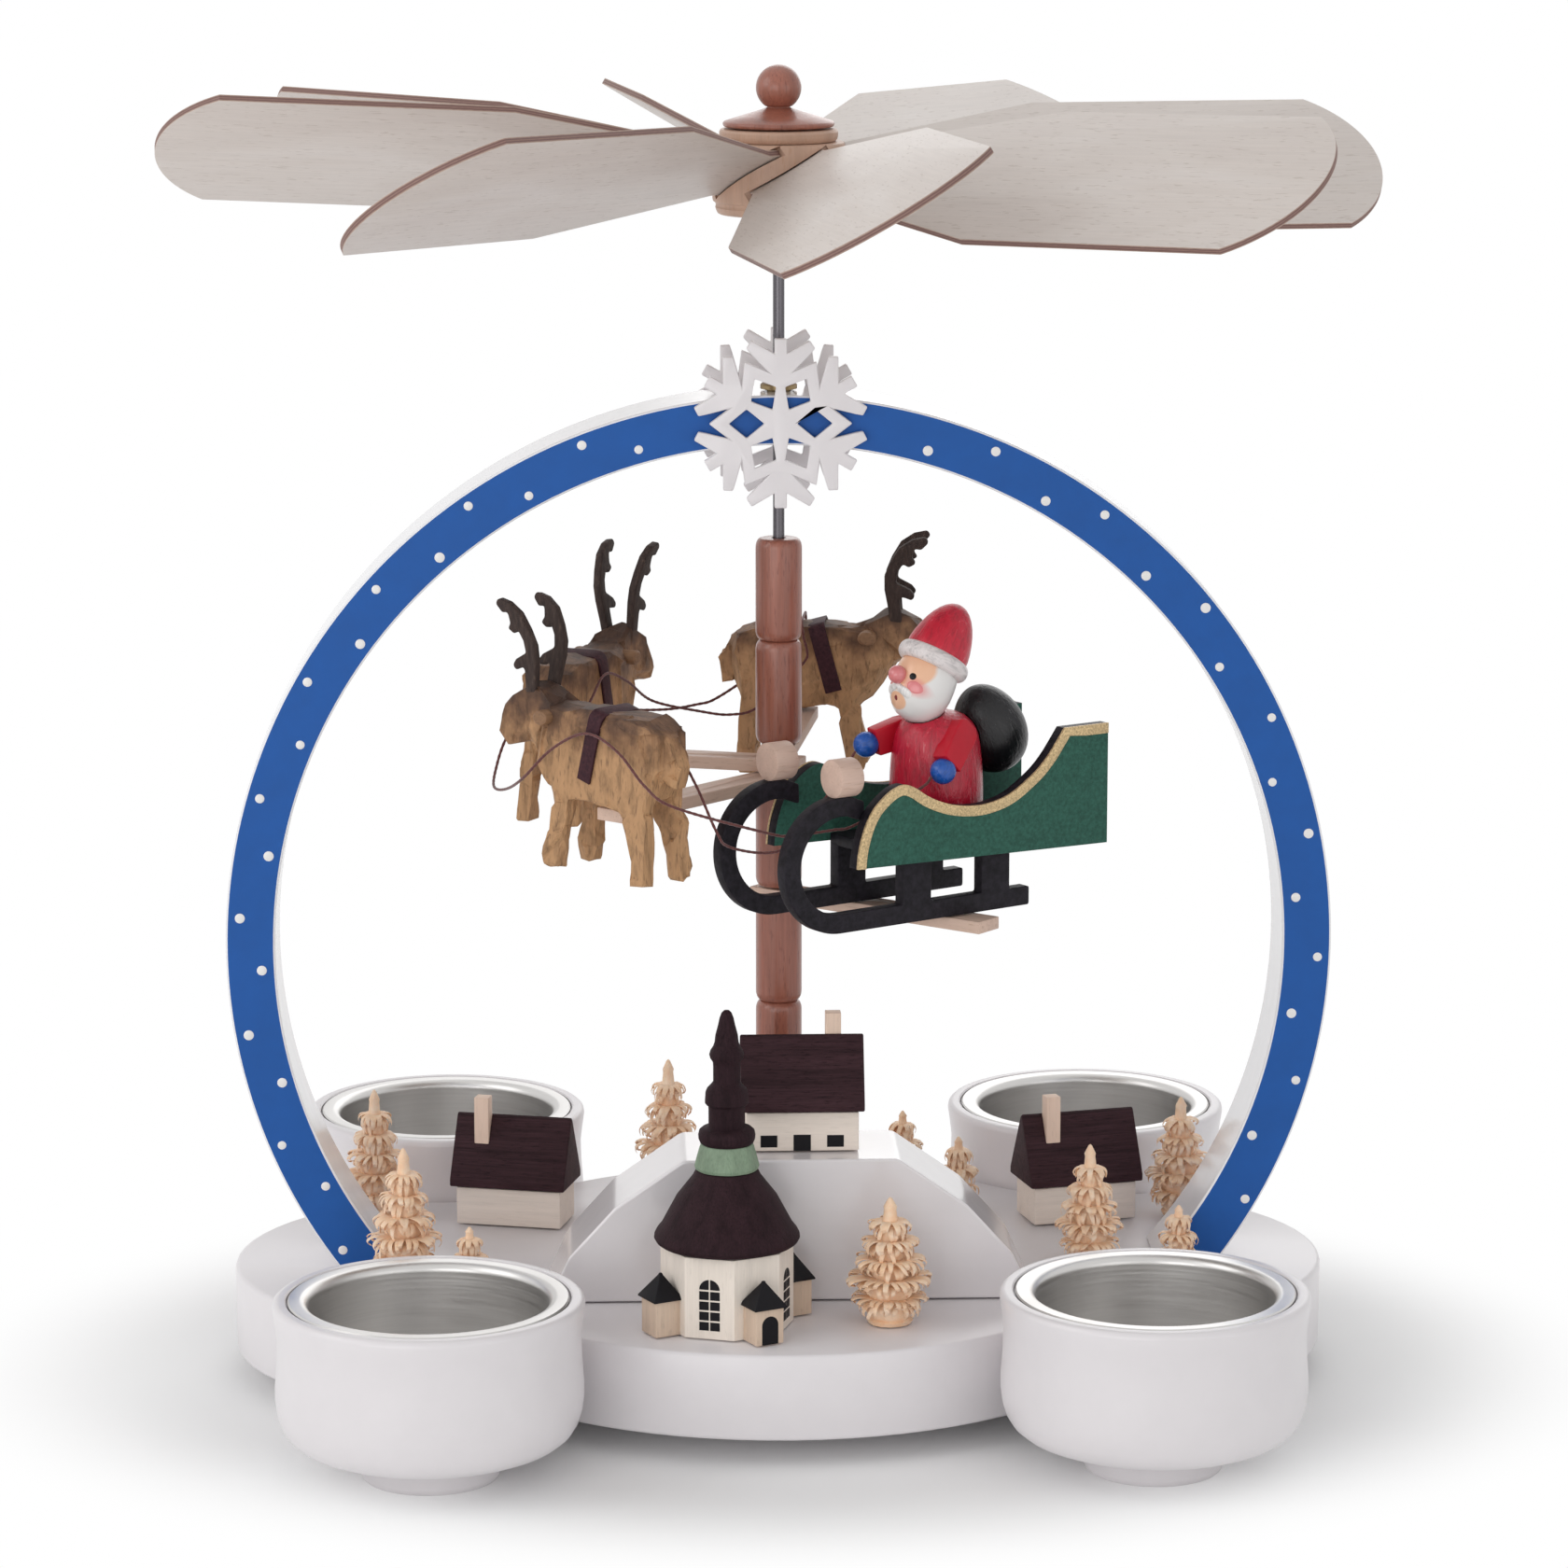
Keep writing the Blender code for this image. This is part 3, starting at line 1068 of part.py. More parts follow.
def make_reins(frames, rotor):
    bpy.context.view_layer.update()
    points = [frames[who].matrix_world @ (Vector(at) * MM) for who, stretch in REIN_ROUTE for at in stretch]
    curve = bpy.data.curves.new("reins", "CURVE")
    curve.dimensions = "3D"
    curve.bevel_depth = REIN_R
    curve.bevel_resolution = 2
    curve.use_fill_caps = True
    spline = curve.splines.new("POLY")
    line = smooth_line(points, REIN_STEP)
    spline.points.add(len(line) - 1)
    for point, where in zip(spline.points, line):
        point.co = (*where, 1.0)
    to_mesh(place("reins", curve, THREAD, parent=rotor))


# The whole object

def main():
    make_base()
    make_cups()
    make_arch()
    make_bearings()
    make_snowflakes()
    make_hill()
    make_houses()
    make_church()
    make_trees()
    rotor = axis_empty("rotor_axis")
    make_shaft(rotor)
    make_pole(rotor)
    frames = make_team(rotor)
    frames["rotor"] = rotor
    frames["sleigh"] = make_sleigh(rotor)
    make_reins(frames, rotor)
    make_hub(rotor)
    make_finial(rotor)
    make_blades(rotor)


main()
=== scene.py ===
"""The looks of the christmas pyramid: finishes, turned and carved detail, curled shavings and the reins."""

from math import asin, atan2, cos, pi, radians, sin, sqrt, tan
from random import Random

import bmesh
import bpy
import numpy as np
from mathutils import Matrix, Vector


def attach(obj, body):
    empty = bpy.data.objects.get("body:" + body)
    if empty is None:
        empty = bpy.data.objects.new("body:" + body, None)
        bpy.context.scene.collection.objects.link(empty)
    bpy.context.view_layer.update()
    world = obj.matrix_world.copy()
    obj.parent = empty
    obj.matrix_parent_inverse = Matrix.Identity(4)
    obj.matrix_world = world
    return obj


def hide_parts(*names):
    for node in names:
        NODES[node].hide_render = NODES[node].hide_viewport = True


MM = 0.001
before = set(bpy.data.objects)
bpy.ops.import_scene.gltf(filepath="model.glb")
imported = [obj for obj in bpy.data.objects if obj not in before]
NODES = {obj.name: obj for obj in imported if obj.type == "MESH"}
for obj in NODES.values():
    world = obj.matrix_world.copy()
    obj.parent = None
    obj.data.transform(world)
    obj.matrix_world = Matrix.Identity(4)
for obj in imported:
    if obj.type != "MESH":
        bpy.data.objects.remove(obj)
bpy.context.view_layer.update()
SCENE = bpy.context.scene

# Camera for a square 1680 x 1680 frame; the frame size itself is not set here
CAMERA_DOWN = 0.192
CAMERA_ASIDE = 0.038
camera_data = bpy.data.cameras.new("camera")
camera_data.sensor_width = 36.0
camera_data.lens = 123.68
camera = bpy.data.objects.new("camera", camera_data)
camera.location = (-0.0343, -0.9264, 0.285)
camera.rotation_euler = (pi / 2.0 - CAMERA_DOWN, 0.0, -CAMERA_ASIDE)
SCENE.collection.objects.link(camera)
SCENE.camera = camera


# Node materials. Colours are sRGB values from 0 to 255 in the makers' arguments, depths are in mm.

def put(tree, kind, inputs=None, **settings):
    """Adds a node. Its inputs are values, or sockets to link."""
    node = tree.nodes.new("ShaderNode" + kind)
    for key, value in settings.items():
        setattr(node, key, value)
    for key, value in (inputs or {}).items():
        if isinstance(value, bpy.types.NodeSocket):
            tree.links.new(value, node.inputs[key])
        else:
            node.inputs[key].default_value = value
    return node


def start(name, roughness, metallic=0.0, coat=0.0, specular=None):
    made = bpy.data.materials.new(name)
    made.use_nodes = True
    shader = made.node_tree.nodes["Principled BSDF"]
    values = {"Roughness": roughness, "Metallic": metallic, "Coat Weight": coat, "Coat Roughness": 0.12}
    if specular is not None:
        values["Specular IOR Level"] = specular
    for key, value in values.items():
        shader.inputs[key].default_value = value
    return made, made.node_tree, shader


def own_place(tree):
    """The point on the object's own axes."""
    return put(tree, "TexCoord").outputs["Object"]


def own_parts(tree):
    return put(tree, "SeparateXYZ", {"Vector": own_place(tree)})


def noise(tree, scale, detail=4.0, roughness=0.5, distortion=0.0, shift=(0.0, 0.0, 0.0)):
    """Noise on the object's own axes, with one scale or with one for each axis."""
    stretch, scale = (scale, 1.0) if isinstance(scale, tuple) else ((1.0, 1.0, 1.0), scale)
    at = put(tree, "Mapping", {"Vector": own_place(tree), "Scale": stretch, "Location": shift})
    return put(tree, "TexNoise", {"Vector": at.outputs["Vector"], "Scale": scale, "Detail": detail,
                                  "Roughness": roughness, "Distortion": distortion}).outputs["Fac"]


def ramp(tree, fac, *stops):
    node = put(tree, "ValToRGB", {"Fac": fac})
    elements = node.color_ramp.elements
    while len(elements) < len(stops):
        elements.new(0.5)
    for element, (position, colour) in zip(elements, stops):
        element.position = position
        element.color = (*colour, 1.0) if hasattr(colour, "__len__") else (colour, colour, colour, 1.0)
    return node.outputs["Color"]


def blend(tree, fac, a, b, kind="MIX"):
    a, b = (v if isinstance(v, bpy.types.NodeSocket) else (*v, 1.0) for v in (a, b))
    return put(tree, "Mix", {0: fac, 6: a, 7: b}, data_type="RGBA", blend_type=kind).outputs[2]


def times(tree, colour, fac, *stops):
    return blend(tree, 1.0, colour, ramp(tree, fac, *stops), "MULTIPLY")


def sums(tree, operation, a, b=0.0):
    return put(tree, "Math", {0: a, 1: b}, operation=operation).outputs[0]


def length_of(tree, a, b):
    """The root of the sum of two squares."""
    return sums(tree, "SQRT", sums(tree, "ADD", sums(tree, "MULTIPLY", a, a), sums(tree, "MULTIPLY", b, b)))


def finish_with(tree, shader, colour, height, depth, strength, roughness=None):
    tree.links.new(colour, shader.inputs["Base Color"])
    bump = put(tree, "Bump", {"Height": height, "Distance": depth * MM, "Strength": strength})
    tree.links.new(bump.outputs["Normal"], shader.inputs["Normal"])
    if roughness is not None:
        tree.links.new(roughness, shader.inputs["Roughness"])


def srgb(*values):
    return tuple(((v / 255.0 + 0.055) / 1.055) ** 2.4 if v > 10.3 else v / 255.0 / 12.92 for v in values)


def shaded(colour, factor):
    return tuple(min(1.0, c * factor) for c in colour)


def along(axis, fine, long):
    return tuple(long if i == axis else fine for i in range(3))


def wood(name, colour, grain=2, contrast=0.22, pores=0.35, roughness=0.6, coat=0.0, coarse=260.0, seed=0.0,
         pore_colour=None, depth=0.05, specular=None):
    """Wood with its grain along one of the object's own axes: broad streaks, fine fibres and short pores."""
    made, tree, shader = start(name, roughness, coat=coat, specular=specular)
    colour = srgb(*colour)
    dark = srgb(*pore_colour) if pore_colour else shaded(colour, 0.55)
    streak = noise(tree, along(grain, coarse, coarse * 0.06), 5.0, 0.55, 0.6, (seed, seed * 1.7, seed * 0.6))
    fibre = noise(tree, along(grain, coarse * 9.0, coarse * 0.35), 3.0, 0.6)
    pore = ramp(tree, noise(tree, along(grain, coarse * 11.0, coarse * 1.5), 2.0), (0.30, 1.0), (0.42, 0.0))
    tone = ramp(tree, streak, (0.25, shaded(colour, 1.0 - contrast)), (0.5, colour),
                (0.75, shaded(colour, 1.0 + contrast * 0.6)))
    tone = times(tree, tone, fibre, (0.3, 1.0 - contrast * 0.8), (0.7, 1.0))
    tone = blend(tree, sums(tree, "MULTIPLY", pore, pores), tone, dark)
    height = sums(tree, "SUBTRACT", fibre, sums(tree, "MULTIPLY", pore, 0.8))
    finish_with(tree, shader, tone, height, depth, 0.6)
    return made


def lacquer(name, colour, roughness=0.34, coat=0.12, mottling=0.012, orange_peel=0.004, specular=None):
    """Sprayed or brushed paint: nearly even colour, with a slightly uneven gloss."""
    made, tree, shader = start(name, roughness, coat=coat, specular=specular)
    colour = srgb(*colour)
    spot_size = 180.0
    cloud = noise(tree, spot_size, 4.0, 0.6)
    tone = ramp(tree, cloud, (0.3, shaded(colour, 1.0 - mottling)), (0.7, shaded(colour, 1.0 + mottling)))
    skin_height = noise(tree, spot_size * 9.0, 2.0)
    rough = ramp(tree, cloud, (0.3, roughness * 0.96), (0.7, roughness * 1.05))
    finish_with(tree, shader, tone, skin_height, orange_peel, 0.5, rough)
    return made


def brushed_paint(name, colour, roughness=0.3, stroke=0.3, grain=2, coat=0.0, specular=None):
    """Thick gloss paint put on by hand, with brush strokes along one axis: darker and lighter strokes of its own
    colour, and a painted highlight (the colour whitened) on the palest strokes.
    """
    made, tree, shader = start(name, roughness, coat=coat, specular=specular)
    colour = srgb(*colour)
    strokes = noise(tree, along(grain, 1100.0, 260.0), 4.0, 0.65, 1.0)
    # Painted highlight: the colour lifted and whitened by a quarter, laid on the palest brush strokes; the darker
    # and lighter stops are the strokes' own tone.
    painted_highlight = tuple(0.75 * c + 0.25 for c in shaded(colour, 1.3))
    tone = ramp(tree, strokes, (0.28, shaded(colour, 0.6)), (0.5, colour), (0.64, shaded(colour, 1.1)),
                (0.78, painted_highlight))
    finish_with(tree, shader, tone, strokes, stroke, 0.7)
    return made


def metal(name, colour, roughness):
    """Metal with fine lines round its axis."""
    made, tree, shader = start(name, roughness, metallic=1.0)
    colour = srgb(*colour)
    lines = noise(tree, (60.0, 60.0, 2600.0), 3.0, 0.6)
    tone = ramp(tree, lines, (0.3, shaded(colour, 0.92)), (0.7, colour))
    rough = ramp(tree, lines, (0.3, roughness * 0.85), (0.7, roughness * 1.2))
    finish_with(tree, shader, tone, lines, 0.006, 0.5, rough)
    return made


def textured_paint(name, colour, roughness, grit=1700.0, depth=0.05, spread=0.25, metallic=0.0, specular=None):
    """Matt or metallic paint with a gritty surface."""
    made, tree, shader = start(name, roughness, metallic=metallic, specular=specular)
    colour = srgb(*colour)
    speck = noise(tree, grit, 3.0, 0.6)
    tone = ramp(tree, speck, (0.3, shaded(colour, 1.0 - spread)), (0.7, shaded(colour, 1.0 + spread)))
    tone = times(tree, tone, noise(tree, grit * 0.12, 3.0), (0.3, 0.93), (0.7, 1.0))
    finish_with(tree, shader, tone, speck, depth, 0.7)
    return made


def fibrous(name, roughness, scale, detail, rough, depth, strength, *stops, specular=None, sheen=0.0):
    """A skin or fibre whose colour and height follow one noise."""
    made, tree, shader = start(name, roughness, specular=specular)
    shader.inputs["Sheen Weight"].default_value = sheen
    grain = noise(tree, scale, detail, rough)
    tone = ramp(tree, grain, *[(at, srgb(*colour)) for at, colour in stops])
    finish_with(tree, shader, tone, grain, depth, strength)
    return made


def blade_wood():
    """Thin birch veneer with a fine silky grain along the blade."""
    made, tree, shader = start("birch_veneer", 0.45, coat=0.05)
    fibre = noise(tree, (60.0, 1500.0, 1500.0), 4.0, 0.6)
    cloud = noise(tree, (22.0, 70.0, 70.0), 4.0, 0.55, 1.2)
    fleck = ramp(tree, noise(tree, (420.0, 2600.0, 2600.0), 1.0), (0.28, 1.0), (0.36, 0.0))
    tone = ramp(tree, cloud, (0.3, srgb(214, 203, 196)), (0.5, srgb(219, 209, 202)),
                (0.72, srgb(224, 215, 209)))
    tone = times(tree, tone, fibre, (0.3, 0.93), (0.7, 1.0))
    tone = blend(tree, sums(tree, "MULTIPLY", fleck, 0.3), tone, srgb(158, 140, 125))
    finish_with(tree, shader, tone, fibre, 0.02, 0.5)
    return made


def ply_edge():
    """The cut edge of thin plywood: dark glue and core lines between two pale veneers."""
    made, tree, shader = start("plywood_edge", 0.6)
    half_thickness = 0.6 * MM
    level = sums(tree, "ABSOLUTE", sums(tree, "DIVIDE", own_parts(tree).outputs["Z"], half_thickness))
    speck = noise(tree, 900.0, 3.0, 0.6)
    level = sums(tree, "ADD", level, sums(tree, "MULTIPLY", sums(tree, "SUBTRACT", speck, 0.5), 0.25))
    tone = ramp(tree, level, (0.0, srgb(150, 118, 108)), (0.34, srgb(108, 78, 74)), (0.62, srgb(144, 114, 104)),
                (0.9, srgb(188, 166, 152)))
    finish_with(tree, shader, tone, speck, 0.04, 0.5)
    return made


def carved_wood():
    """Stained carving: pale below and darker on the back and brow, with fibres and pores."""
    made, tree, shader = start("carved_reindeer_wood", 0.62, specular=0.3)
    low = 6.0 * MM
    reach = 15.0 * MM
    fibre = noise(tree, (520.0, 1600.0, 200.0), 4.0, 0.65, 0.4)
    cloud = noise(tree, 150.0, 4.0, 0.6)
    up = sums(tree, "DIVIDE", sums(tree, "SUBTRACT", own_parts(tree).outputs["Z"], low), reach)
    stain = sums(tree, "ADD", up, sums(tree, "MULTIPLY", sums(tree, "SUBTRACT", cloud, 0.5), 1.5))
    tone = ramp(tree, stain, (0.08, srgb(184, 143, 104)), (0.34, srgb(152, 115, 83)), (0.56, srgb(116, 85, 63)),
                (0.82, srgb(76, 55, 44)))
    tone = times(tree, tone, fibre, (0.3, 0.56), (0.52, 1.0), (0.75, 1.12))
    pore = ramp(tree, noise(tree, (1900.0, 2600.0, 420.0), 2.0), (0.3, 1.0), (0.4, 0.0))
    tone = blend(tree, sums(tree, "MULTIPLY", pore, 0.5), tone, srgb(84, 62, 48))
    finish_with(tree, shader, tone, fibre, 0.09, 0.8)
    return made


def shaving_look():
    """Thin curled wood shavings: creamy, more orange in patches, and a little translucent."""
    made, tree, shader = start("curled_wood_shaving", 0.55)
    shader.inputs["Subsurface Weight"].default_value = 0.12
    shader.inputs["Subsurface Radius"].default_value = (0.0016, 0.0011, 0.0007)
    shader.inputs["Subsurface Scale"].default_value = 0.5
    cloud = noise(tree, 420.0, 4.0, 0.6)
    fibre = noise(tree, 3200.0, 3.0, 0.6)
    tone = ramp(tree, cloud, (0.25, srgb(246, 198, 156)), (0.5, srgb(252, 217, 184)),
                (0.75, srgb(254, 231, 206)))
    tone = times(tree, tone, fibre, (0.3, 0.94), (0.7, 1.0))
    finish_with(tree, shader, tone, fibre, 0.03, 0.6)
    return made


def ellipse_mask(tree, parts, centre, reach, edge):
    """1 inside an ellipse, in mm, on the head's front, seen along its own X axis."""
    offsets = [sums(tree, "SUBTRACT", parts.outputs[axis], middle * MM) for axis, middle in zip("YZ", centre)]
    across, down = (sums(tree, "DIVIDE", offset, half * MM) for offset, half in zip(offsets, reach))
    inside = put(tree, "MapRange", {"Value": length_of(tree, across, down), "From Min": 1.0 - edge,
                                    "From Max": 1.0 + edge, "To Min": 1.0, "To Max": 0.0}).outputs["Result"]
    front = put(tree, "MapRange", {"Value": parts.outputs["X"], "From Min": 0.2 * MM,
                                   "From Max": 0.5 * MM}).outputs["Result"]
    return sums(tree, "MULTIPLY", inside, front)


def face_look():
    """A simple doll's face: skin round the eyes and mouth, white beard and moustache, pink cheeks."""
    made, tree, shader = start("painted_doll_face", 0.3, coat=0.3)
    parts = own_parts(tree)
    tone = srgb(232, 230, 228)
    for centre, reach, edge in (((0.0, -2.0), (4.9, 4.3), 0.03), ((0.0, -7.9), (2.1, 1.35), 0.06)):
        tone = blend(tree, ellipse_mask(tree, parts, centre, reach, edge), tone, srgb(240, 190, 156))
    for side in (-1.0, 1.0):
        cheek = ellipse_mask(tree, parts, (side * 3.25, -5.0), (1.5, 1.35), 0.35)
        tone = blend(tree, sums(tree, "MULTIPLY", cheek, 0.85), tone, srgb(226, 132, 128))
    finish_with(tree, shader, tone, noise(tree, (500.0, 900.0, 260.0), 3.0, 0.6), 0.03, 0.6)
    return made


WHITE = lacquer("white_lacquer", (230, 226, 228))
BLUE = lacquer("blue_paint", (20, 86, 164), roughness=0.42, coat=0.02, mottling=0.05, specular=0.3)
HILL_WHITE = lacquer("hill_lacquer", (230, 226, 228), roughness=0.26, coat=0.7)
DOT = lacquer("dot_paint", (240, 238, 236), roughness=0.35)
INSERT_METAL = metal("spun_aluminium", (206, 204, 202), 0.34)
ARCH_EDGE = lacquer("arch_edge_lacquer", (236, 236, 240), roughness=0.26, coat=0.6, mottling=0.02,
                    orange_peel=0.0008)
STEEL = metal("drawn_steel", (98, 95, 99), 0.25)
BRASS = metal("turned_brass", (158, 138, 104), 0.34)
BEAD = wood("red_brown_bead_wood", (160, 98, 80), contrast=0.28, pores=0.5, roughness=0.33, coat=0.25, seed=3.0,
            pore_colour=(105, 52, 42))
BEECH = wood("pale_beech", (214, 184, 168), contrast=0.10, roughness=0.5, seed=5.0, pore_colour=(176, 138, 112))
BEECH_LONG = wood("pale_beech_lengthwise", (220, 190, 172), grain=0, contrast=0.10, pores=0.4, roughness=0.5,
                  seed=6.0, pore_colour=(170, 138, 116))
HUB_WOOD = wood("turned_light_wood", (196, 160, 138), contrast=0.14, pores=0.3, roughness=0.4, seed=7.0,
                pore_colour=(176, 128, 92))
LIME = wood("pale_lime_wood", (244, 231, 219), grain=0, contrast=0.08, pores=0.12, seed=8.0)
LIME_UPRIGHT = wood("pale_lime_wood_upright", (240, 229, 217), contrast=0.09, pores=0.14, seed=9.0)
CHIMNEY_WOOD = wood("chimney_wood", (240, 212, 192), contrast=0.1, pores=0.15, seed=16.0)
PORCH_WOOD = wood("porch_wood", (216, 192, 170), contrast=0.12, pores=0.3, seed=10.0)
ROOF, SPIRE, ROOF_TURNED = (
    wood("dark_stained_" + part, colour, grain=grain, contrast=contrast, pores=0.5, roughness=0.62, seed=seed,
         pore_colour=dark, depth=0.16, coarse=420.0, specular=specular)
    for part, colour, grain, contrast, seed, dark, specular in (
        ("roof", (66, 44, 49), 0, 0.5, 11.0, (28, 17, 22), 0.12),
        ("spire", (50, 33, 38), 2, 0.45, 12.0, (24, 15, 19), 0.1),
        ("turned_roof", (53, 35, 40), 2, 0.45, 14.0, (28, 17, 21), 0.1)))
SAGE = wood("sage_stain", (134, 155, 130), contrast=0.25, pores=0.5, seed=13.0, pore_colour=(92, 122, 94),
            coarse=520.0)
BLACK_PAINT = lacquer("black_paint", (20, 18, 22), roughness=0.45, coat=0.0, specular=0.15)
BLADE = blade_wood()
PLY_EDGE = ply_edge()
CARVED = carved_wood()
PALE_CARVED = wood("pale_carved_wood", (150, 112, 80), contrast=0.2, pores=0.4, roughness=0.62, seed=15.0,
                   pore_colour=(78, 58, 46))
ANTLER = fibrous("antler_wood", 0.7, (1500.0, 1500.0, 320.0), 4.0, 0.6, 0.08, 0.7, (0.25, (44, 34, 32)),
                 (0.6, (70, 57, 52)), (0.85, (104, 86, 74)), specular=0.25)
LEATHER = fibrous("strap_leather", 0.62, 1500.0, 5.0, 0.65, 0.07, 0.8, (0.3, (44, 22, 30)), (0.7, (72, 40, 46)),
                  specular=0.2)
THREAD = fibrous("rein_thread", 0.8, 2600.0, 3.0, 0.6, 0.05, 0.6, (0.3, (76, 36, 36)), (0.7, (116, 62, 58)),
                 sheen=0.3)
GREEN = textured_paint("sleigh_green_paint", (48, 92, 79), 0.6, spread=0.3, depth=0.08, specular=0.2)
SLEIGH_BLACK = textured_paint("sleigh_black_paint", (33, 30, 36), 0.5, grit=900.0, spread=0.5, depth=0.09,
                              specular=0.15)
GOLD = textured_paint("gold_edge_paint", (204, 178, 134), 0.42, grit=2600.0, depth=0.16, spread=0.42,
                      metallic=0.4)
SHAVING = shaving_look()
FACE = face_look()
# RED, HAT_RED, FUR, MITTEN, SACK and BEARD_WHITE are brushed paints: their palest brush strokes carry a painted
# highlight.
RED = brushed_paint("red_gloss_paint", (186, 20, 50), roughness=0.27)
HAT_RED = brushed_paint("red_hat_paint", (194, 18, 48))
SLEEVE_RED = lacquer("red_sleeve_paint", (190, 20, 42), roughness=0.4, coat=0.1, mottling=0.1, specular=0.25)
FUR = brushed_paint("white_brim_paint", (226, 219, 218), roughness=0.4, grain=0)
MITTEN = brushed_paint("blue_mitten_paint", (24, 84, 172), roughness=0.22, stroke=0.2)
SACK = brushed_paint("black_gloss_paint", (18, 17, 20), stroke=0.25, specular=0.4)
BEARD_WHITE = brushed_paint("beard_paint", (236, 234, 232), stroke=0.09, coat=0.4)
PINK = lacquer("pink_nose_paint", (222, 128, 130), roughness=0.18, coat=0.5, mottling=0.06)
EYE = lacquer("eye_paint", (12, 12, 18), roughness=0.3, coat=0.1, specular=0.2)
MOUTH = lacquer("mouth_paint", (128, 40, 40), roughness=0.3)


# Geometry helpers. Outlines, profiles and sizes are in mm.

def mm(points):
    return [tuple(v * MM for v in point) for point in points]


def turned(degrees, axis):
    return Matrix.Rotation(radians(degrees), 4, axis)


def spot(x, y, z, turn=0.0):
    return Matrix.Translation((x * MM, y * MM, z * MM)) @ turned(turn, "Z")


UPRIGHT = turned(90.0, "X")


def soften(mesh, angle):
    """Smooth shading with sharp edges above an angle in degrees."""
    mesh.shade_smooth()
    mesh.set_sharp_from_angle(angle=radians(angle))


def to_object(name, shape, *looks, smooth=None):
    mesh = bpy.data.meshes.new(name)
    bmesh.ops.recalc_face_normals(shape, faces=shape.faces)
    shape.to_mesh(mesh)
    shape.free()
    for look in looks:
        mesh.materials.append(look)
    if smooth is not None:
        soften(mesh, smooth)
    obj = bpy.data.objects.new(name, mesh)
    SCENE.collection.objects.link(obj)
    return obj


def add(piece, body, slot, *replaced, matrix=None):
    """Puts a finished piece in its place and lets it ride on its body."""
    if matrix is not None:
        piece.matrix_world = matrix
    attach(piece, body)
    if replaced:
        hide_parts(*replaced)
    return piece


def fillet(points, closed=True, steps=4):
    """Rounds the corners of an outline. Each point is (x, y) or (x, y, radius)."""
    made = []
    count = len(points)
    for i, point in enumerate(points):
        radius = point[2] if len(point) > 2 else 0.0
        here = Vector(point[:2])
        if radius <= 0.0 or (not closed and i in (0, count - 1)):
            made.append(tuple(here))
            continue
        before = Vector(points[i - 1][:2])
        after = Vector(points[(i + 1) % count][:2])
        to_before = (before - here).normalized()
        to_after = (after - here).normalized()
        half = to_before.angle(to_after, pi) / 2.0
        back = min(radius / max(tan(half), 0.001), 0.48 * min((before - here).length, (after - here).length))
        first = here + to_before * back
        last = here + to_after * back
        for k in range(steps + 1):
            t = k / steps
            made.append(tuple(first.lerp(here, t).lerp(here.lerp(last, t), t)))
    return made


def smooth_points(padded, steps):
    """Points on a smooth curve through all the given points but the first and the last."""
    made = []
    for a, b, c, d in zip(padded, padded[1:], padded[2:], padded[3:]):
        for k in range(steps):
            t = k / steps
            made.append(0.5 * (2.0 * b + (c - a) * t + (2.0 * a - 5.0 * b + 4.0 * c - d) * t ** 2
                               + (3.0 * b - a - 3.0 * c + d) * t ** 3))
    return made + [padded[-2]]


def arc(centre, radius, first, last, count):
    steps = [first + (last - first) * i / count for i in range(count + 1)]
    return [(centre[0] + radius * cos(a), centre[1] + radius * sin(a)) for a in steps]


def skin(shape, rings, caps=True):
    """Faces between neighbouring rings of points, where a ring of one point is a tip, and over both ends."""
    for one, two in zip(rings, rings[1:]):
        sides = max(len(one), len(two))
        for k in range(sides if sides > 1 else 0):
            n = (k + 1) % sides
            if len(one) == 1:
                corners = (one[0], two[k], two[n])
            elif len(two) == 1:
                corners = (one[k], two[0], one[n])
            else:
                corners = (one[k], two[k], two[n], one[n])
            shape.faces.new(corners)
    if caps:
        shape.faces.new(list(reversed(rings[0])))
        shape.faces.new(rings[-1])


def lathe(name, profile, sides, look, closed=False, smooth=35.0):
    """A turned shape from (radius, height) points."""
    shape = bmesh.new()
    rings = []
    for radius, height in mm(profile):
        around = range(sides if radius > 1e-7 else 1)
        rings.append([shape.verts.new((radius * cos(2.0 * pi * k / sides), radius * sin(2.0 * pi * k / sides),
                                       height)) for k in around])
    skin(shape, rings + rings[:1] if closed else rings, caps=False)
    return to_object(name, shape, look, smooth=smooth)


def evaluated_mesh(obj):
    bpy.context.view_layer.update()
    return bpy.data.meshes.new_from_object(obj.evaluated_get(bpy.context.evaluated_depsgraph_get()))


def plate(name, outline, thickness, *looks, edge=0.0, resolution=2, smooth=35.0, rim=0):
    """A flat plate in its own XY plane with rounded edges. rim is the material of its edges."""
    curve = bpy.data.curves.new(name, "CURVE")
    curve.dimensions = "2D"
    curve.fill_mode = "BOTH"
    curve.extrude = (thickness / 2.0 - edge) * MM
    curve.bevel_depth = edge * MM
    curve.bevel_resolution = resolution
    curve.offset = -edge * MM
    spline = curve.splines.new("POLY")
    spline.points.add(len(outline) - 1)
    for point, (x, y) in zip(spline.points, outline):
        point.co = (x * MM, y * MM, 0.0, 1.0)
    spline.use_cyclic_u = True
    holder = bpy.data.objects.new(name, curve)
    SCENE.collection.objects.link(holder)
    mesh = evaluated_mesh(holder)
    bpy.data.objects.remove(holder, do_unlink=True)
    mesh.materials.clear()
    shape = bmesh.new()
    shape.from_mesh(mesh)
    bmesh.ops.remove_doubles(shape, verts=shape.verts, dist=0.004 * MM)
    bmesh.ops.recalc_face_normals(shape, faces=shape.faces)
    for face in shape.faces:
        face.material_index = 0 if abs(face.normal.z) > 0.92 else rim
    bpy.data.meshes.remove(mesh)
    return to_object(name, shape, *looks, smooth=smooth)


def moved(obj, matrix):
    obj.data.transform(matrix)
    return obj


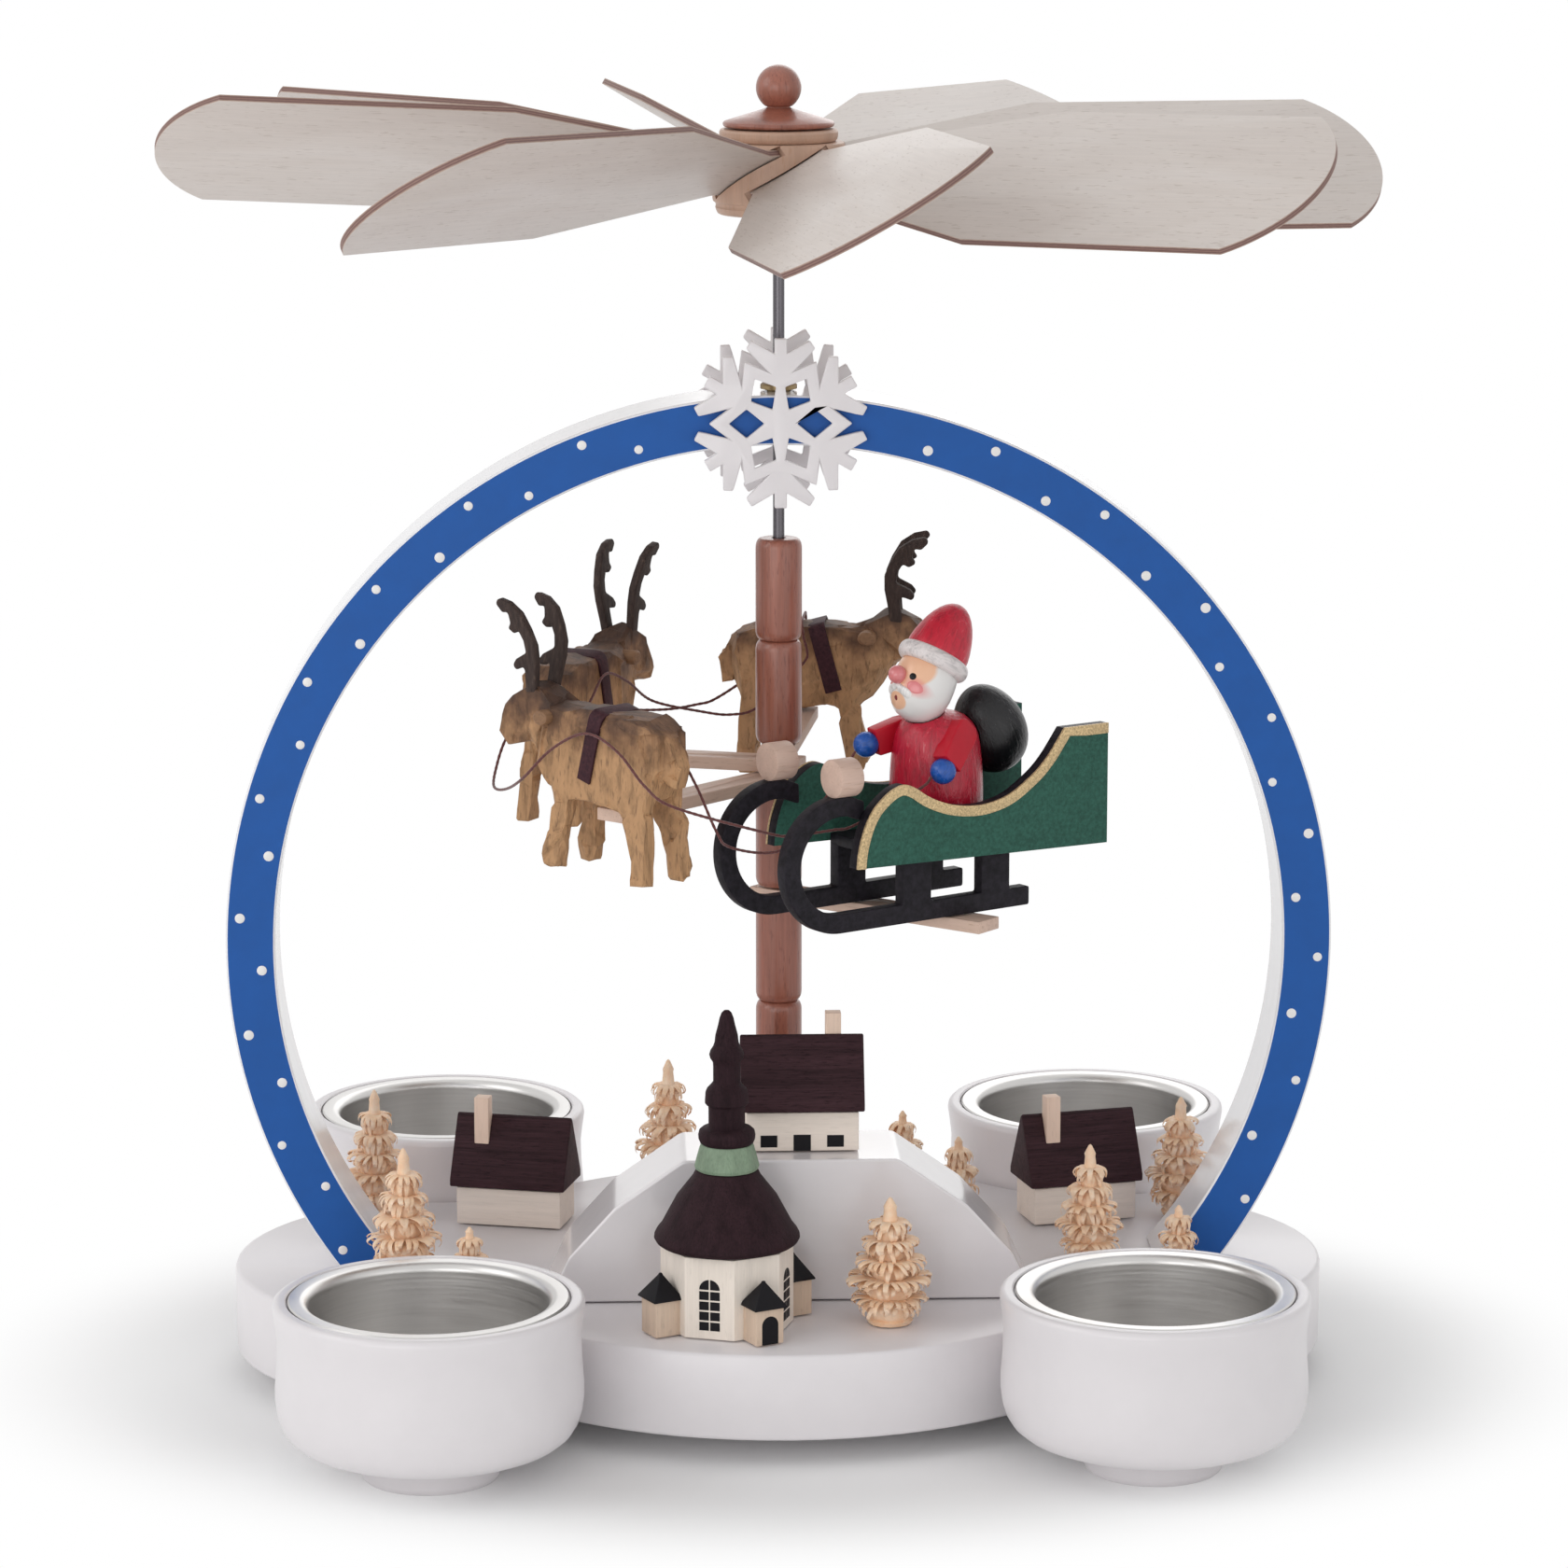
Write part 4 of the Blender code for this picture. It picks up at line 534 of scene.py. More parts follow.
def applied(obj, kind, **settings):
    """Adds a modifier with its settings and applies it to the object's mesh."""
    step = obj.modifiers.new("step", kind)
    for key, value in settings.items():
        setattr(step, key, value)
    mesh = evaluated_mesh(obj)
    old = obj.data
    obj.modifiers.clear()
    obj.data = mesh
    bpy.data.meshes.remove(old)
    return obj


def joined(first, *others, operation="UNION"):
    """Boolean of solids in place: the others are used up."""
    for other in others:
        applied(first, "BOOLEAN", operation=operation, object=other, solver="EXACT")
        bpy.data.objects.remove(other, do_unlink=True)
    return first


def bevelled(obj, width, angle=30.0):
    applied(obj, "BEVEL", width=width * MM, segments=2, limit_method="ANGLE", angle_limit=radians(angle),
            harden_normals=False)
    soften(obj.data, 35.0)
    return obj


def block(name, low, high, look, edge=0.25):
    shape = bmesh.new()
    bmesh.ops.create_cube(shape, size=1.0)
    low, high = (Vector(corner) for corner in mm((low, high)))
    stretch = Matrix.Translation((high + low) / 2.0) @ Matrix.Diagonal((*(high - low), 1.0))
    bmesh.ops.transform(shape, matrix=stretch, verts=shape.verts)
    made = to_object(name, shape, look)
    return bevelled(made, edge) if edge else made


def cad_copy(name, node, look, edge):
    """A copy of a CAD node's mesh with welded points and softened edges."""
    shape = bmesh.new()
    shape.from_mesh(NODES[node].data)
    bmesh.ops.remove_doubles(shape, verts=shape.verts, dist=0.02 * MM)
    bmesh.ops.dissolve_limit(shape, angle_limit=radians(1.0), verts=shape.verts, edges=shape.edges)
    for face in shape.faces:
        face.material_index = 0
    return bevelled(to_object(name, shape, look, smooth=30.0), edge)


# Reins: one twisted thread, in metres, on the route of the CAD thread
REIN_DIAMETER = 0.54 * MM
REIN_TWIST = 2.4 * MM
REIN_POINTS = 1400
REIN_ROUTE = (
    (0.02505, -0.02673, 0.11105), (0.02299, -0.0276, 0.10915), (0.0119, -0.03312, 0.10415),
    (0.00795, -0.03476, 0.10355), (0.00064, -0.03767, 0.10325), (-0.00328, -0.03953, 0.10405),
    (-0.01907, -0.04775, 0.1102), (-0.02397, -0.04526, 0.1133), (-0.02799, -0.04067, 0.1178),
    (-0.03209, -0.036, 0.1202), (-0.03536, -0.0329, 0.1198), (-0.03996, -0.029, 0.1164),
    (-0.04461, -0.02446, 0.1108), (-0.0476, -0.012, 0.1066), (-0.0498, -0.0035, 0.1054),
    (-0.0494, 0.0025, 0.1079), (-0.04768, 0.00499, 0.11245), (-0.04383, 0.00878, 0.11825),
    (-0.04052, 0.01396, 0.12265), (-0.03799, 0.01984, 0.11985), (-0.03537, 0.02635, 0.11545),
    (-0.03328, 0.03201, 0.11275), (-0.0203, 0.037, 0.1115), (-0.0134, 0.0406, 0.1118),
    (-0.0098, 0.0414, 0.1128), (-0.00254, 0.04236, 0.1175), (0.00338, 0.04124, 0.1227),
    (0.00584, 0.04078, 0.1249), (0.00643, 0.04062, 0.1267), (0.00642, 0.04052, 0.1281),
    (0.00635, 0.03982, 0.1288), (0.00614, 0.03783, 0.1289), (0.00584, 0.03505, 0.1289),
    (0.00555, 0.03226, 0.1289), (0.00534, 0.03027, 0.1288), (0.00527, 0.02958, 0.1281),
    (0.00556, 0.02945, 0.126), (0.00614, 0.02928, 0.1237), (0.00603, 0.0292, 0.122),
    (0.00382, 0.02923, 0.1195), (-0.00269, 0.02941, 0.1132), (-0.00758, 0.02882, 0.112),
    (-0.01306, 0.02839, 0.1127), (-0.02175, 0.02416, 0.11545), (-0.02628, 0.0158, 0.12045),
    (-0.0301, 0.00887, 0.12305), (-0.03263, 0.00277, 0.11985), (-0.0349, -0.0028, 0.11585),
    (-0.03674, -0.00747, 0.11325), (-0.03379, -0.01609, 0.112), (-0.02859, -0.0222, 0.1168),
    (-0.02395, -0.02772, 0.12), (-0.01879, -0.0322, 0.117), (-0.01531, -0.03523, 0.1116),
    (-0.01187, -0.03677, 0.1038), (-0.0096, -0.03376, 0.10055), (-0.00298, -0.02927, 0.09855),
    (0.00103, -0.02663, 0.09995), (0.00866, -0.0204, 0.10825), (0.01253, -0.01737, 0.11375),
)


def even_line(points, count):
    """Even steps along a smooth curve that passes through every point."""
    points = [Vector(p) for p in points]
    fine = smooth_points([points[0] * 2.0 - points[1], *points, points[-1] * 2.0 - points[-2]], 12)
    run = [0.0]
    for before, after in zip(fine, fine[1:]):
        run.append(run[-1] + (after - before).length)
    even = []
    index = 0
    for k in range(count):
        target = run[-1] * k / (count - 1)
        while index < len(run) - 2 and run[index + 1] < target:
            index += 1
        share = (target - run[index]) / (run[index + 1] - run[index])
        even.append(fine[index].lerp(fine[index + 1], share))
    return even


def twisted_thread(name, line, diameter, twist, sides=8):
    """A two-ply thread: its round section waists in along a helix."""
    shape = bmesh.new()
    rings = []
    side = Vector((0.0, 0.0, 1.0))
    run = 0.0
    for i, here in enumerate(line):
        ahead = (line[min(i + 1, len(line) - 1)] - line[max(i - 1, 0)]).normalized()
        side = (side - ahead * side.dot(ahead)).normalized()
        other = ahead.cross(side)
        if i:
            run += (here - line[i - 1]).length
        ring = []
        for k in range(sides):
            a = 2.0 * pi * k / sides
            ply = 0.5 + 0.5 * cos(2.0 * (a - 2.0 * pi * run / twist))
            radius = diameter / 2.0 * (0.80 + 0.20 * ply)
            ring.append(shape.verts.new(here + (side * cos(a) + other * sin(a)) * radius))
        rings.append(ring)
    skin(shape, rings)
    return to_object(name, shape, THREAD, smooth=60.0)


rein_path = even_line(REIN_ROUTE, REIN_POINTS)
reins = add(twisted_thread("rein_thread", rein_path, REIN_DIAMETER, REIN_TWIST), "rotor", "rein_thread",
            "reins")


# Base board, cups and inserts

GROUND = 19.8
GAP = 0.3
CUP_X = 60.5
CUP_Y = 63.4
CUP_R = 26.0
CUP_HEIGHT = 30.8
CUP_SIDE = ((0.0, 1.2), (0.35, 3.6), (0.7, 6.5), (0.6, 10.5), (0.3, 14.5), (0.3, 17.0), (0.6, 19.2),
            (1.2, 21.2), (2.2, 22.8), (3.8, 24.1), (6.0, 25.0), (9.0, 25.55), (11.8, 25.75))
INSERT_R = 20.8
INSERT_WALL = 0.8
INSERT_FLANGE_R = 23.4
INSERT_DEPTH = 15.0


def cup_profile():
    outside = [(CUP_R - inset, CUP_HEIGHT - down) for inset, down in CUP_SIDE]
    rim = [(CUP_R - 1.1, CUP_HEIGHT), (CUP_R - 0.6, CUP_HEIGHT - 0.1), (CUP_R - 0.15, CUP_HEIGHT - 0.5)]
    foot = [(13.1, 4.9), (12.2, 4.4), (11.8, 3.4), (11.7, 1.2), (11.5, 0.35), (11.1, 0.0), (0.0, 0.0)]
    floor = CUP_HEIGHT - INSERT_DEPTH - GAP
    seat = CUP_HEIGHT - INSERT_WALL - GAP
    bore = INSERT_R + GAP
    seat_r = INSERT_FLANGE_R + GAP
    inside = [(0.0, floor), (bore, floor), (bore, seat), (seat_r, seat), (seat_r, CUP_HEIGHT - 0.25),
              (seat_r + 0.25, CUP_HEIGHT)]
    return inside + rim + outside + foot


def insert_profile():
    """A spun metal dish with a rounded lip and a small radius round its floor."""
    inner = INSERT_R - INSERT_WALL
    bottom = CUP_HEIGHT - INSERT_DEPTH
    under = CUP_HEIGHT - INSERT_WALL
    inside = bottom + INSERT_WALL
    lip_r = 1.5
    floor_r = 2.0
    lip = [(inner + lip_r * (1.0 - cos(radians(a))), CUP_HEIGHT - lip_r * (1.0 - sin(radians(a))))
           for a in range(0, 91, 10)]
    floor = [(inner - floor_r * (1.0 - cos(radians(a))), inside + floor_r * (1.0 - sin(radians(a))))
             for a in range(90, -1, -15)]
    edge = [(INSERT_FLANGE_R - 0.25, CUP_HEIGHT), (INSERT_FLANGE_R, CUP_HEIGHT - 0.25),
            (INSERT_FLANGE_R, under + 0.1), (INSERT_FLANGE_R - 0.1, under), (INSERT_R, under),
            (INSERT_R, bottom + 1.5), (INSERT_R - 1.5, bottom), (0.0, bottom)]
    return [(0.0, inside), (6.0, inside), (12.0, inside)] + floor + lip + edge


add(cad_copy("base_board_finish", "base_board", WHITE, 1.0), "base", "white_lacquer", "base_board")
for tag, sx, sy in (("front_left", -1, -1), ("front_right", 1, -1), ("rear_left", -1, 1), ("rear_right", 1, 1)):
    for part, profile, look, slot in (("cup", cup_profile(), WHITE, "white_lacquer"),
                                      ("insert", insert_profile(), INSERT_METAL, "aluminium")):
        made = lathe("candle_%s_finish_%s" % (part, tag), profile, 96, look, smooth=40.0)
        add(made, "base", slot, "candle_%s_%s" % (part, tag), matrix=spot(sx * CUP_X, sy * CUP_Y, 0.0))


# Arch: blue faces with raised white dots, white edges

ARCH_Z = 77.5
ARCH_IN = 88.1
ARCH_OUT = 96.7
ARCH_HALF = 8.0
ARCH_SOFT = 0.35
ARCH_STEPS = 160


def make_arch():
    """A half ring of rectangular section with softened corners; its two wide faces are blue."""
    shape = bmesh.new()
    soft = ARCH_SOFT
    outline = [(ARCH_IN, ARCH_HALF - soft), (ARCH_IN + soft * 0.3, ARCH_HALF - soft * 0.3),
               (ARCH_IN + soft, ARCH_HALF), (ARCH_OUT - soft, ARCH_HALF),
               (ARCH_OUT - soft * 0.3, ARCH_HALF - soft * 0.3), (ARCH_OUT, ARCH_HALF - soft)]
    outline += [(r, -y) for r, y in reversed(outline)]
    rings = []
    for i in range(ARCH_STEPS + 1):
        ring = []
        for r, y in outline:
            low = asin((GROUND - ARCH_Z) / r)
            a = low + (pi - 2.0 * low) * i / ARCH_STEPS
            ring.append(shape.verts.new((r * cos(a) * MM, y * MM, (ARCH_Z + r * sin(a)) * MM)))
        rings.append(ring)
    skin(shape, rings)
    wide = (ARCH_HALF - ARCH_SOFT * 0.1) * MM
    for face in shape.faces:
        face.material_index = int(abs(face.calc_center_median().y) > wide)
    made = to_object("arch_finish", shape, ARCH_EDGE, BLUE, smooth=20.0)
    bore = lathe("bush_bore", [(0.0, 180.0), (2.3, 180.0), (2.3, 160.0), (0.0, 160.0)], 32, ARCH_EDGE)
    return joined(made, bore, operation="DIFFERENCE")


def arch_dots():
    """Small paint dots in a zigzag, standing slightly proud of both faces, in one mesh."""
    places = [(73.8 - 6.88 * k, k) for k in range(16)] + [(105.0 + 6.47 * k, k) for k in range(18)]
    chance = Random(11)
    sides = 18
    shape = bmesh.new()
    for angle, k in places:
        a = radians(angle + chance.uniform(-0.6, 0.6))
        radius = (90.6 if k % 2 == 0 else 94.4) + chance.uniform(-0.25, 0.25)
        size = 0.82 + chance.uniform(-0.07, 0.07)
        for side in (-1.0, 1.0):
            centre = Vector((radius * cos(a), side * ARCH_HALF, ARCH_Z + radius * sin(a)))
            rings = []
            for reach, out in ((1.0, -0.1), (1.0, 0.05), (0.8, 0.13), (0.45, 0.17)):
                ring = [Vector((reach * size * cos(2.0 * pi * n / sides), side * out,
                                reach * size * sin(2.0 * pi * n / sides))) for n in range(sides)]
                rings.append([shape.verts.new((centre + point) * MM) for point in ring])
            skin(shape, rings)
    return to_object("arch_dots", shape, DOT, smooth=50.0)


add(make_arch(), "base", "blue_lacquer", "arch")
add(arch_dots(), "base", "white_lacquer")
for tag in ("front", "rear"):
    flake = cad_copy("snowflake_finish_" + tag, "snowflake_" + tag, WHITE, 0.22)
    add(flake, "base", "white_lacquer", "snowflake_" + tag)


# Bearings and shaft

bush = lathe("shaft_bush_finish", [(1.3, 175.15), (1.55, 175.4), (2.95, 175.4), (3.2, 175.15), (3.2, 174.5),
                                   (2.0, 174.5), (2.0, 165.75), (1.85, 165.6), (1.3, 165.6)], 48, BRASS,
             closed=True)
add(bush, "base", "bearing_brass", "shaft_bush")
pivot = lathe("pivot_bearing_finish", [(0.0, 21.1), (1.3, 23.1), (1.3, 24.1), (1.5, 24.3), (3.0, 24.3),
                                       (3.5, 24.15), (3.9, 23.7), (4.0, 23.2), (4.0, 19.8), (0.0, 19.8)], 48,
              BRASS)
add(pivot, "base", "bearing_brass", "pivot_bearing")
shaft = lathe("shaft_finish", [(0.0, 216.0), (0.8, 216.0), (1.0, 215.8), (1.0, 150.0), (1.0, 60.0), (1.0, 23.4),
                               (0.0, 21.4)], 32, STEEL)
add(shaft, "rotor", "shaft_steel", "shaft")


# Hill

right = fillet([(42.0, 0.0), (38.3, 8.0, 5.0), (35.2, 11.4, 5.0), (30.4, 16.7, 6.0), (18.5, 25.0, 2.5),
                (0.0, 25.0)], closed=False)[:-1]
hill = plate("hill_finish", right + [(-x, z) for x, z in reversed(right)], 20.0, HILL_WHITE, edge=0.4,
             smooth=12.0)
add(hill, "base", "white_lacquer", "hill", matrix=spot(1.0, -20.3, GROUND) @ UPRIGHT)


# Houses

HOUSE_LENGTH = 19.4
HOUSE_WIDTH = 10.3
WALL_HEIGHT = 6.8
ROOF_HEIGHT = 13.2
HILL_TOP = 45.1
HILL_HOUSE_Y = -20.3
HOUSES = (("house_left", -47.1, 23.7, GROUND, -14.7), ("house_right", 55.2, 22.9, GROUND, 14.0),
          ("house_hill", 3.2, HILL_HOUSE_Y, HILL_TOP, 180.0))


def shallow_panel(name, outline, proud):
    """A thin black panel: its outline in (across, up), standing slightly out of a wall that faces -Y."""
    sink = 0.1
    made = plate(name, outline, sink + proud, BLACK_PAINT, edge=0.02, resolution=0, smooth=30.0)
    return moved(made, spot(0.0, (sink - proud) / 2.0, 0.0) @ UPRIGHT)


def make_house(name, x, y, z, turn):
    place = spot(x, y, z, turn)
    half_l = HOUSE_LENGTH / 2.0
    half_w = HOUSE_WIDTH / 2.0
    walls = block(name + "_walls_finish", (-half_l, -half_w, 0.0), (half_l, half_w, WALL_HEIGHT), LIME,
                  edge=0.22)
    add(walls, "base", "pale_lime_wood", name + "_walls", matrix=place)
    eave = half_w + 1.0
    under = WALL_HEIGHT + GAP
    gable = [(-eave, under, 0.3), (eave, under, 0.3), (eave, under + 1.3, 0.5), (0.0, under + ROOF_HEIGHT, 0.9),
             (-eave, under + 1.3, 0.5)]
    roof = plate(name + "_roof_finish", fillet(gable), HOUSE_LENGTH + 2.0, ROOF, edge=0.3, smooth=28.0)
    add(moved(roof, turned(90.0, "Z") @ UPRIGHT), "base", "dark_stained_wood", name + "_roof", matrix=place)
    chimney = block(name + "_chimney", (-6.85, -2.95, under + 2.3), (-4.15, -0.25, under + ROOF_HEIGHT + 2.8),
                    CHIMNEY_WOOD, edge=0.15)
    add(chimney, "base", "pale_lime_wood", matrix=place)


for house in HOUSES:
    make_house(*house)

# Two windows and a door painted on the front of the house on the hill
for tag, left, right_edge, low, high in (("left", -4.1, -1.2, 0.7, 2.8), ("door", 1.6, 4.6, 0.05, 2.9),
                                         ("right", 7.4, 10.3, 0.7, 2.8)):
    panel = shallow_panel("hill_house_opening_" + tag,
                          [(left, low), (right_edge, low), (right_edge, high), (left, high)], 0.06)
    add(panel, "base", "black_paint", matrix=spot(0.0, HILL_HOUSE_Y - HOUSE_WIDTH / 2.0, HILL_TOP))


# Church

CHURCH = spot(-10.4, -43.0, GROUND, -18.0)
CHURCH_HALF = 10.5
CHURCH_WALL = 14.0
PORCHES = (45.0, -45.0, -135.0)
PORCH_OUT = 15.1
WINDOWS = (0.0, -90.0, 90.0, 180.0)


def octagon(flat):
    corner = flat / cos(pi / 8.0)
    return [(corner * cos(pi / 8.0 + k * pi / 4.0), corner * sin(pi / 8.0 + k * pi / 4.0)) for k in range(8)]


def on_wall(azimuth, out, up=0.0):
    """A frame on the church's wall: X across, Y into the wall, Z up, facing the azimuth."""
    return CHURCH @ turned(azimuth + 90.0, "Z") @ spot(0.0, -out, up)


def arched_window():
    """Ten dark panes in two columns under a round arch, 3.6 mm wide and 8.9 mm tall."""
    panes = []
    half = 1.8
    bar = 0.24
    low = 1.5
    step = 1.78
    for row in range(4):
        bottom = low + row * step
        top = bottom + step - bar * 1.3
        for side in (-1.0, 1.0):
            first, last = sorted((side * bar / 2.0, side * half))
            panes.append([(first, bottom), (last, bottom), (last, top), (first, top)])
    spring = low + 4.0 * step
    for side in (-1.0, 1.0):
        curve = [(side * half * cos(radians(a)), spring + half * 0.98 * sin(radians(a)))
                 for a in range(0, 85, 12)]
        corner = [(side * bar / 2.0, spring), *curve, (side * bar / 2.0, spring + half * 0.97)]
        panes.append(corner if side > 0 else list(reversed(corner)))
    return panes


def porch_roof(name):
    """A black pyramid with a blunt top and a thin edge, over a porch and against the wall."""
    shape = bmesh.new()
    middle = 12.8
    rings = []
    for z, share in ((6.15, 1.0), (6.4, 1.0), (10.2, 0.12), (10.55, 0.08)):
        rings.append([shape.verts.new(((middle + sx * 2.8 * share) * MM, sy * 3.1 * share * MM, z * MM))
                      for sx, sy in ((-1, -1), (1, -1), (1, 1), (-1, 1))])
    skin(shape, rings)
    return bevelled(to_object(name, shape, BLACK_PAINT), 0.14, 20.0)


def make_church():
    walls = plate("church_walls_finish", octagon(CHURCH_HALF), CHURCH_WALL, LIME_UPRIGHT, edge=0.12,
                  smooth=20.0)
    walls = moved(walls, spot(0.0, 0.0, CHURCH_WALL / 2.0))
    add(walls, "base", "pale_lime_wood", "church_walls", matrix=CHURCH)
    for number, azimuth in enumerate(PORCHES, 1):
        place = CHURCH @ turned(azimuth, "Z")
        porch = block("church_porch_%d" % number, (10.0, -2.6, 0.0), (PORCH_OUT, 2.6, 6.2), PORCH_WOOD,
                      edge=0.15)
        add(porch, "base", "pale_lime_wood", matrix=place)
        add(porch_roof("church_porch_roof_%d" % number), "base", "black_paint", matrix=place)
    for number, azimuth in enumerate(WINDOWS, 1):
        shape = bmesh.new()
        for pane in arched_window():
            skin(shape, [[shape.verts.new((x * MM, y * MM, z * MM)) for x, z in pane] for y in (-0.05, 0.1)])
        add(to_object("church_window_%d" % number, shape, BLACK_PAINT), "base", "black_paint",
            matrix=on_wall(azimuth, CHURCH_HALF))
    door = [(-1.55, 0.0), (1.55, 0.0), *arc((0.0, 3.35), 1.55, 0.0, pi, 12)]
    add(shallow_panel("church_door_2", door, 0.05), "base", "black_paint",
        matrix=on_wall(PORCHES[1], PORCH_OUT, 0.03))


def make_church_roof():
    low = CHURCH_WALL + GAP
    top = low + 12.6
    cone = [(0.0, top + 0.6), (4.2, top + 0.6), (5.3, top), (5.8, top - 1.0), (8.6, top - 4.6),
            (11.2, low + 3.1), (12.0, low + 2.1), (12.35, low + 1.4), (12.4, low + 0.9), (12.1, low + 0.35),
            (11.6, low), (0.0, low)]
    add(lathe("church_roof_finish", cone, 80, ROOF_TURNED, smooth=30.0), "base", "dark_stained_wood",
        "church_roof", matrix=CHURCH)
    base = top + 0.02
    sides = 96
    shape = bmesh.new()
    rings = []
    for z, radius, facet in ((0.0, 4.9, 0.2), (0.25, 5.35, 0.4), (0.7, 5.5, 0.7), (1.2, 5.4, 1.0),
                             (2.6, 5.05, 1.0), (4.0, 4.65, 0.9), (4.5, 4.45, 0.5), (4.6, 4.3, 0.3)):
        ring = []
        for k in range(sides):
            a = 2.0 * pi * k / sides
            off = (a + pi / 8.0) % (pi / 4.0) - pi / 8.0
            flat = cos(pi / 8.0) / cos(off)
            r = min(radius * ((1.0 - facet) + facet * flat * 1.04), radius)
            ring.append(shape.verts.new((r * cos(a) * MM, r * sin(a) * MM, (base + z) * MM)))
        rings.append(ring)
    skin(shape, rings)
    add(to_object("church_collar", shape, SAGE, smooth=14.0), "base", "green_paint", matrix=CHURCH)
    tower_low = base + 4.55
    tower = ((0.0, 23.2), (0.45, 23.1), (0.85, 22.7), (1.2, 21.8), (1.45, 20.6), (1.9, 18.9), (2.05, 17.6),
             (2.3, 16.9), (2.75, 16.2), (2.95, 15.5), (2.8, 14.9), (2.35, 14.2), (2.3, 13.5), (2.3, 10.8),
             (2.7, 10.3), (3.35, 9.6), (3.6, 9.0), (3.7, 7.6), (3.7, 7.1), (3.45, 6.8), (3.15, 6.7), (3.1, 6.0),
             (3.1, 3.1), (3.3, 2.9), (4.2, 2.75), (4.7, 2.3), (4.85, 1.6), (4.8, 0.9), (4.55, 0.3), (4.2, 0.0),
             (0.0, 0.0))
    add(lathe("church_tower", [(r, z + tower_low) for r, z in tower], 64, SPIRE, smooth=38.0), "base",
        "dark_stained_wood", matrix=CHURCH)


make_church()
make_church_roof()


# Trees of curled shavings: x, y, height, radius

TREES = (
    (17.3, -43.8, 22.0, 7.9), (54.5, -10.2, 22.0, 6.4), (69.8, -14.6, 12.0, 4.3), (74.2, 22.8, 22.0, 6.8),
    (34.0, 28.3, 13.5, 4.5), (24.9, 47.6, 13.5, 4.5), (-18.9, 42.7, 25.0, 6.8), (-72.6, 25.8, 24.0, 6.6),
    (-66.0, -17.6, 24.5, 7.0), (-54.5, -24.0, 12.0, 4.0),
)
CURL_STEPS = 9
CURL_THICK = 0.10
STEM_SIDES = 14


def curl(shape, root, reach, drop, width, hook, twist, azimuth, chance):
    """One shaving: a thin closed strip that arches out and down from the stem and hooks back at its tip."""
    turn = Matrix.Rotation(azimuth, 4, "Z")
    rings = []
    sway = chance.uniform(-0.35, 0.35)
    for i in range(CURL_STEPS + 1):
        t = i / CURL_STEPS
        bend = t * (1.0 + 0.15 * hook)
        x = root[0] + reach * sin(min(bend, 1.0) * pi / 2.0) - max(0.0, t - 0.82) * hook * reach * 1.6
        z = (root[1] + 0.30 * reach * sin(t * pi * 0.55) - drop * t ** 1.9
             + max(0.0, t - 0.86) * hook * drop * 1.5)
        y = sway * reach * t * t
        half = width / 2.0 * (1.0 - 0.55 * t ** 2.2)
        roll = twist * t
        ring = []
        for across, lift in ((-half, 0.0), (0.0, 0.22 * half), (half, 0.0)):
            ring.append(Vector((x + lift * 0.4, y + across * cos(roll), z + lift + across * sin(roll))))
        ring += [point - Vector((CURL_THICK * 0.5, 0.0, CURL_THICK)) for point in reversed(ring)]
        rings.append([shape.verts.new((turn @ point) * MM) for point in ring])
    skin(shape, rings)


def stem_profile(height, radius, crown, low, step, tiers, stem_r):
    """A pointed stem that grows wider from tier to tier."""
    point = height - crown
    profile = [(0.0, height), (stem_r * 0.25, height - point * 0.06), (stem_r * 0.8, height - point * 0.38),
               (stem_r * 0.72, height - point * 0.5), (stem_r * 0.9, crown)]
    for k in range(tiers):
        top = crown - k * step
        wide = min(stem_r * (1.0 + 0.42 * (k + 1)), radius * 0.52)
        profile += [(wide * bulge, top - step * down) for bulge, down in ((1.0, 0.12), (1.08, 0.5), (0.86, 0.96))]
    return profile + [(radius * 0.5, low * 0.8), (radius * 0.46, 0.0), (0.0, 0.0)]


